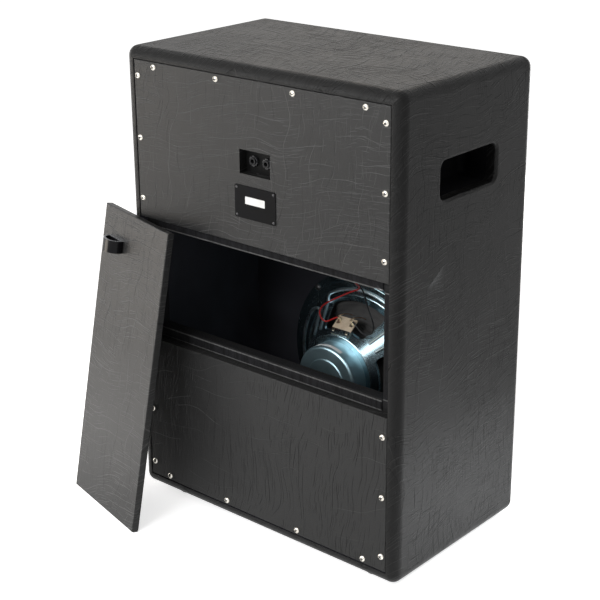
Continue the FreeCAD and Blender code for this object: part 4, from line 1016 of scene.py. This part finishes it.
def screw_head(name, middle, radius, height, turned):
    """A domed head with a cross recess, whose faces take a second finish of painted shade."""
    bm = bmesh.new()

    def spot(ring, step):
        far = radius * ring / SCREW_RINGS
        turn = 2 * math.pi * step / SCREW_STEPS
        near, long = sorted((abs(far * math.cos(turn - turned)), abs(far * math.sin(turn - turned))))
        sunk = near < CROSS_HALF_W and long < CROSS_HALF_L
        rise = height * math.sqrt(max(0.0, 1 - (far / radius) ** 2))
        if sunk:
            rise -= height * CROSS_DEPTH_SHARE * (1 - CROSS_TAPER * long / CROSS_HALF_L)
        return bm.verts.new(middle + Vector((far * math.cos(turn), rise, far * math.sin(turn)))), sunk

    before = [spot(0, 0)] * SCREW_STEPS
    for ring in range(1, SCREW_RINGS + 1):
        after = [spot(ring, step) for step in range(SCREW_STEPS)]
        for i in range(SCREW_STEPS):
            j = (i + 1) % SCREW_STEPS
            corners = [before[i], before[j], after[j], after[i]]
            if ring == 1:
                corners.pop(0)
            face = bm.faces.new([vert for vert, _ in corners])
            # Faces in the cross recess take the painted shade
            face.material_index = int(sum(sunk for _, sunk in corners) > 1)
        before = after
    bm.faces.new([vert for vert, _ in before])
    made = mesh_object(name, bm)
    shade_smooth(made)
    return made


def make_screw_heads():
    """Each head sits where its solid does and is turned its own way."""
    for number, corners in enumerate(islands("back_panel_screws"), 1):
        xs, zs = [c.x for c in corners], [c.z for c in corners]
        radius = (max(xs) - min(xs)) / 2
        middle_x, middle_z = (max(xs) + min(xs)) / 2, (max(zs) + min(zs)) / 2
        base = min(c.y for c in corners
                   if math.hypot(c.x - middle_x, c.z - middle_z) > SCREW_RIM_SHARE * radius)
        top = max(c.y for c in corners)
        head = screw_head(f"panel_screw_{number}", Vector((middle_x, base, middle_z)), radius, top - base,
                          math.radians(SCREW_TURN_DEG * number))
        put(head, "cabinet", NICKEL, "nickel_screws", "back_panel_screws", second=DARK_METAL_AND_RECESS_SHADE)


# Grille cloth

def cloth_returns(depth):
    """Reach and set-back of each row of points, round the frame's edge and down its side."""
    angles = [math.radians(a) for a in CLOTH_TURN_DEG]
    turns = [(CLOTH_EDGE_R * math.sin(a), CLOTH_EDGE_R * (1 - math.cos(a))) for a in angles]
    return turns + [(CLOTH_EDGE_R, depth * share) for share in CLOTH_RETURN_SHARES]


def make_grille_cloth():
    """Cloth pulled over the front of its frame and down the frame's edges."""
    low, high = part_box("grille_cloth")
    columns = round((high.x - low.x) / CLOTH_PITCH)
    rows = round((high.z - low.z) / CLOTH_PITCH)
    inset = CLOTH_EDGE_R
    middle = Vector(((low.x + high.x) / 2, 0, (low.z + high.z) / 2))
    half = Vector(((high.x - low.x) / 2 - inset, 0, (high.z - low.z) / 2 - inset))
    bm = bmesh.new()

    def front(i, j):
        x = low.x + inset + (high.x - low.x - 2 * inset) * i / columns
        z = low.z + inset + (high.z - low.z - 2 * inset) * j / rows
        ease = 0.5 + 0.5 * noise.noise(Vector((x * CLOTH_EASE_SCALE, 0.0, z * CLOTH_EASE_SCALE)))
        edge = min(i, columns - i, j, rows - j)
        return Vector((x, low.y + CLOTH_EASE * ease * min(1.0, edge / CLOTH_EASE_ROWS), z))

    def turned(start, reach, back):
        off = start - middle
        push = Vector((0, 0, 0))
        if abs(off.x) > half.x - TINY:
            push.x = math.copysign(reach, off.x)
        if abs(off.z) > half.z - TINY:
            push.z = math.copysign(reach, off.z)
        if push.x and push.z:
            push *= math.sqrt(0.5)
        return Vector((start.x + push.x, low.y + back, start.z + push.z))

    grid = [[bm.verts.new(front(i, j)) for j in range(rows + 1)] for i in range(columns + 1)]
    fill_grid(bm, grid)
    rim = grid_rim(grid)
    before = rim
    for reach, back in cloth_returns(high.y - low.y):
        ring = [bm.verts.new(turned(vert.co, reach, back)) for vert in rim]
        bridge(bm, before, ring)
        before = ring
    cloth = mesh_object("grille_cloth_stretched", bm)
    shade_smooth(cloth, angle_deg=60)
    solid = cloth.modifiers.new("cloth_thickness", "SOLIDIFY")
    solid.thickness = CLOTH_T
    solid.offset = -1.0
    put(cloth, "cabinet", GRILLE, "grille_fabric", "grille_cloth")


# Stickers

def make_plate_sticker():
    """A blank paper label on the rating plate."""
    width, height, middle_z = PLATE_STICKER
    face_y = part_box("rating_plate")[1].y
    bm = bmesh.new()
    outline = []
    for sx, sz, start in ((1, 1, 0), (-1, 1, 90), (-1, -1, 180), (1, -1, 270)):
        for step in range(STICKER_CORNER_STEPS + 1):
            turn = math.radians(start + 90 / STICKER_CORNER_STEPS * step)
            x = sx * (width / 2 - STICKER_CORNER_R) + STICKER_CORNER_R * math.cos(turn)
            z = sz * (height / 2 - STICKER_CORNER_R) + STICKER_CORNER_R * math.sin(turn)
            outline.append((x, middle_z + z))
    under, face = ([bm.verts.new((x, y, z)) for x, z in outline] for y in (face_y, face_y + STICKER_T))
    bm.faces.new(under)
    bm.faces.new(face)
    bridge(bm, under, face)
    put(mesh_object("plate_label", bm), "cabinet", PAPER, None)


def make_cover_stickers():
    """A blank paper strip round the top of each magnet cover."""
    start, end = (math.radians(a) for a in COVER_STICKER_ARC_DEG)
    for which, axis_z in SPEAKER_Z.items():
        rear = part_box(f"{which}_magnet_cover")[1].y - COVER_STICKER_FROM_REAR
        fore, outer = rear - COVER_STICKER_W, COVER_R + STICKER_T
        outline = ((COVER_R, rear), (outer, rear), (outer, fore), (COVER_R, fore))
        bm = bmesh.new()
        rows = []
        for step in range(COVER_STICKER_STEPS + 1):
            turn = start + (end - start) * step / COVER_STICKER_STEPS
            rows.append([bm.verts.new((radius * math.cos(turn), y, axis_z * MM + radius * math.sin(turn)))
                         for radius, y in outline])
        for first, second in zip(rows, rows[1:]):
            bridge(bm, first, second)
        bm.faces.new(rows[0])
        bm.faces.new(rows[-1])
        label = mesh_object(f"{which}_cover_label", bm)
        shade_smooth(label)
        put(label, "cabinet", PAPER, None)


# Floor, background and lights

FLOOR_HALF = 20.0
FLOOR_CELLS = 8
FLOOR_COLOUR = (0.80, 0.80, 0.79)
FLOOR_GLOW_NEAR = 0.72
FLOOR_GLOW_FAR = 1.0
FLOOR_NEAR_R = 0.5
FLOOR_FAR_R = 3.0
SEEN_FLOOR_COLOUR = (0.90, 0.90, 0.90)
LIGHTS = (
    # name, place, aim, width, height, power, colour
    ("left", (2.10, 1.25, 0.22), (0.3, 0.2, 0.3), 1.0, 0.4, 8.0, (1.0, 0.90, 0.78)),
    ("far_left", (2.3, 0.20, 0.80), (0.2, 0.0, 0.4), 1.2, 1.0, 7.0, (1.0, 0.97, 0.94)),
    ("near_left", (0.65, 1.40, 0.85), (-0.05, 0.1, 0.6), 0.9, 0.4, 8.0, (0.98, 0.99, 1.0)),
    ("overhead", (0.15, 1.6, 1.9), (0.0, 0.0, 0.30), 2.4, 1.3, 17.0, (1.0, 0.97, 0.94)),
    ("front", (0.50, -2.00, 0.42), (0.0, -0.16, 0.40), 1.4, 0.6, 12.0, (1.0, 0.99, 0.98)),
    ("front_top", (1.20, -1.60, 1.80), (0.0, 0.0, 0.75), 1.0, 0.6, 2.4, (1.0, 0.84, 0.66)),
    ("rear", (-0.10, 2.10, 1.40), (0.0, 0.0, 0.27), 0.6, 0.5, 15.0, (0.97, 0.985, 1.0)),
    ("left_floor", (0.72, 0.42, 0.28), (0.72, 0.42, 0.0), 0.4, 0.4, 2.0, (1.0, 0.97, 0.94)),
    ("right_floor", (-0.42, -0.14, 0.24), (-0.42, -0.14, 0.0), 0.14, 0.5, 1.9, (0.97, 0.985, 1.0)),
    ("inside", (-0.225, 0.09, 0.50), (-0.04, -0.05, 0.28), 0.10, 0.10, 0.15, (0.95, 0.98, 1.0)),
)
AMBIENT = 0.10


def show(nodes, lighting, seen, output):
    """Join what lights the part with what the camera, a mirror or glass shows of the surroundings."""
    path = nodes.node("ShaderNodeLightPath")
    shown = path["Is Camera Ray"]
    for name in ("Is Glossy Ray", "Is Transmission Ray"):
        shown = nodes.maths("MAXIMUM", shown, path[name])
    mix = nodes.node("ShaderNodeMixShader", {0: shown, 1: lighting, 2: seen})
    nodes.node(output, {"Surface": mix[0]})


def make_floor():
    """A plain pale floor that keeps the part's shadow and turns white far off."""
    bm = bmesh.new()
    bmesh.ops.create_grid(bm, x_segments=FLOOR_CELLS, y_segments=FLOOR_CELLS, size=FLOOR_HALF)
    floor = mesh_object("floor", bm)
    material = bpy.data.materials.new("floor")
    material.use_nodes = True
    nodes = Nodes(material.node_tree)
    nodes.tree.nodes.clear()
    lit, seen = (nodes.node("ShaderNodeBsdfDiffuse", {"Color": (*colour, 1)})[0]
                 for colour in (FLOOR_COLOUR, SEEN_FLOOR_COLOUR))
    far = nodes.vector("LENGTH", nodes.node("ShaderNodeTexCoord")["Object"], output="Value")
    strength = nodes.span(far, FLOOR_NEAR_R, FLOOR_FAR_R, FLOOR_GLOW_NEAR, FLOOR_GLOW_FAR, smooth=True)
    glow = nodes.node("ShaderNodeEmission", {"Strength": strength})[0]
    both = nodes.node("ShaderNodeAddShader", {0: seen, 1: glow})[0]
    show(nodes, lit, both, "ShaderNodeOutputMaterial")
    dress(floor, material)


def make_world():
    """White where it is seen, and a low even light elsewhere."""
    world = bpy.data.worlds.new("studio")
    bpy.context.scene.world = world
    world.use_nodes = True
    nodes = Nodes(world.node_tree)
    nodes.tree.nodes.clear()
    ambient, white = (nodes.node("ShaderNodeBackground", {"Color": (grey, grey, grey, 1)})[0]
                      for grey in (AMBIENT, 1.0))
    show(nodes, ambient, white, "ShaderNodeOutputWorld")


def make_lights():
    """Lamps that light the part but aren't in the picture themselves."""
    for name, place, aim, width, height, power, colour in LIGHTS:
        data = bpy.data.lights.new(name, "AREA")
        data.shape = "RECTANGLE"
        data.size = width
        data.size_y = height
        data.energy = power
        data.color = colour
        lamp = add_object(name, data)
        lamp.visible_camera = False
        lamp.location = place
        lamp.rotation_euler = (Vector(aim) - Vector(place)).to_track_quat("-Z", "Y").to_euler()


bpy.context.scene.view_settings.view_transform = "Standard"
place_camera()
lay_wires()
finish_nodes()
make_cones()
make_tapes()
make_pull()
make_window_ribs()
make_clamps()
make_screw_heads()
make_grille_cloth()
make_plate_sticker()
make_cover_stickers()
make_floor()
make_world()
make_lights()
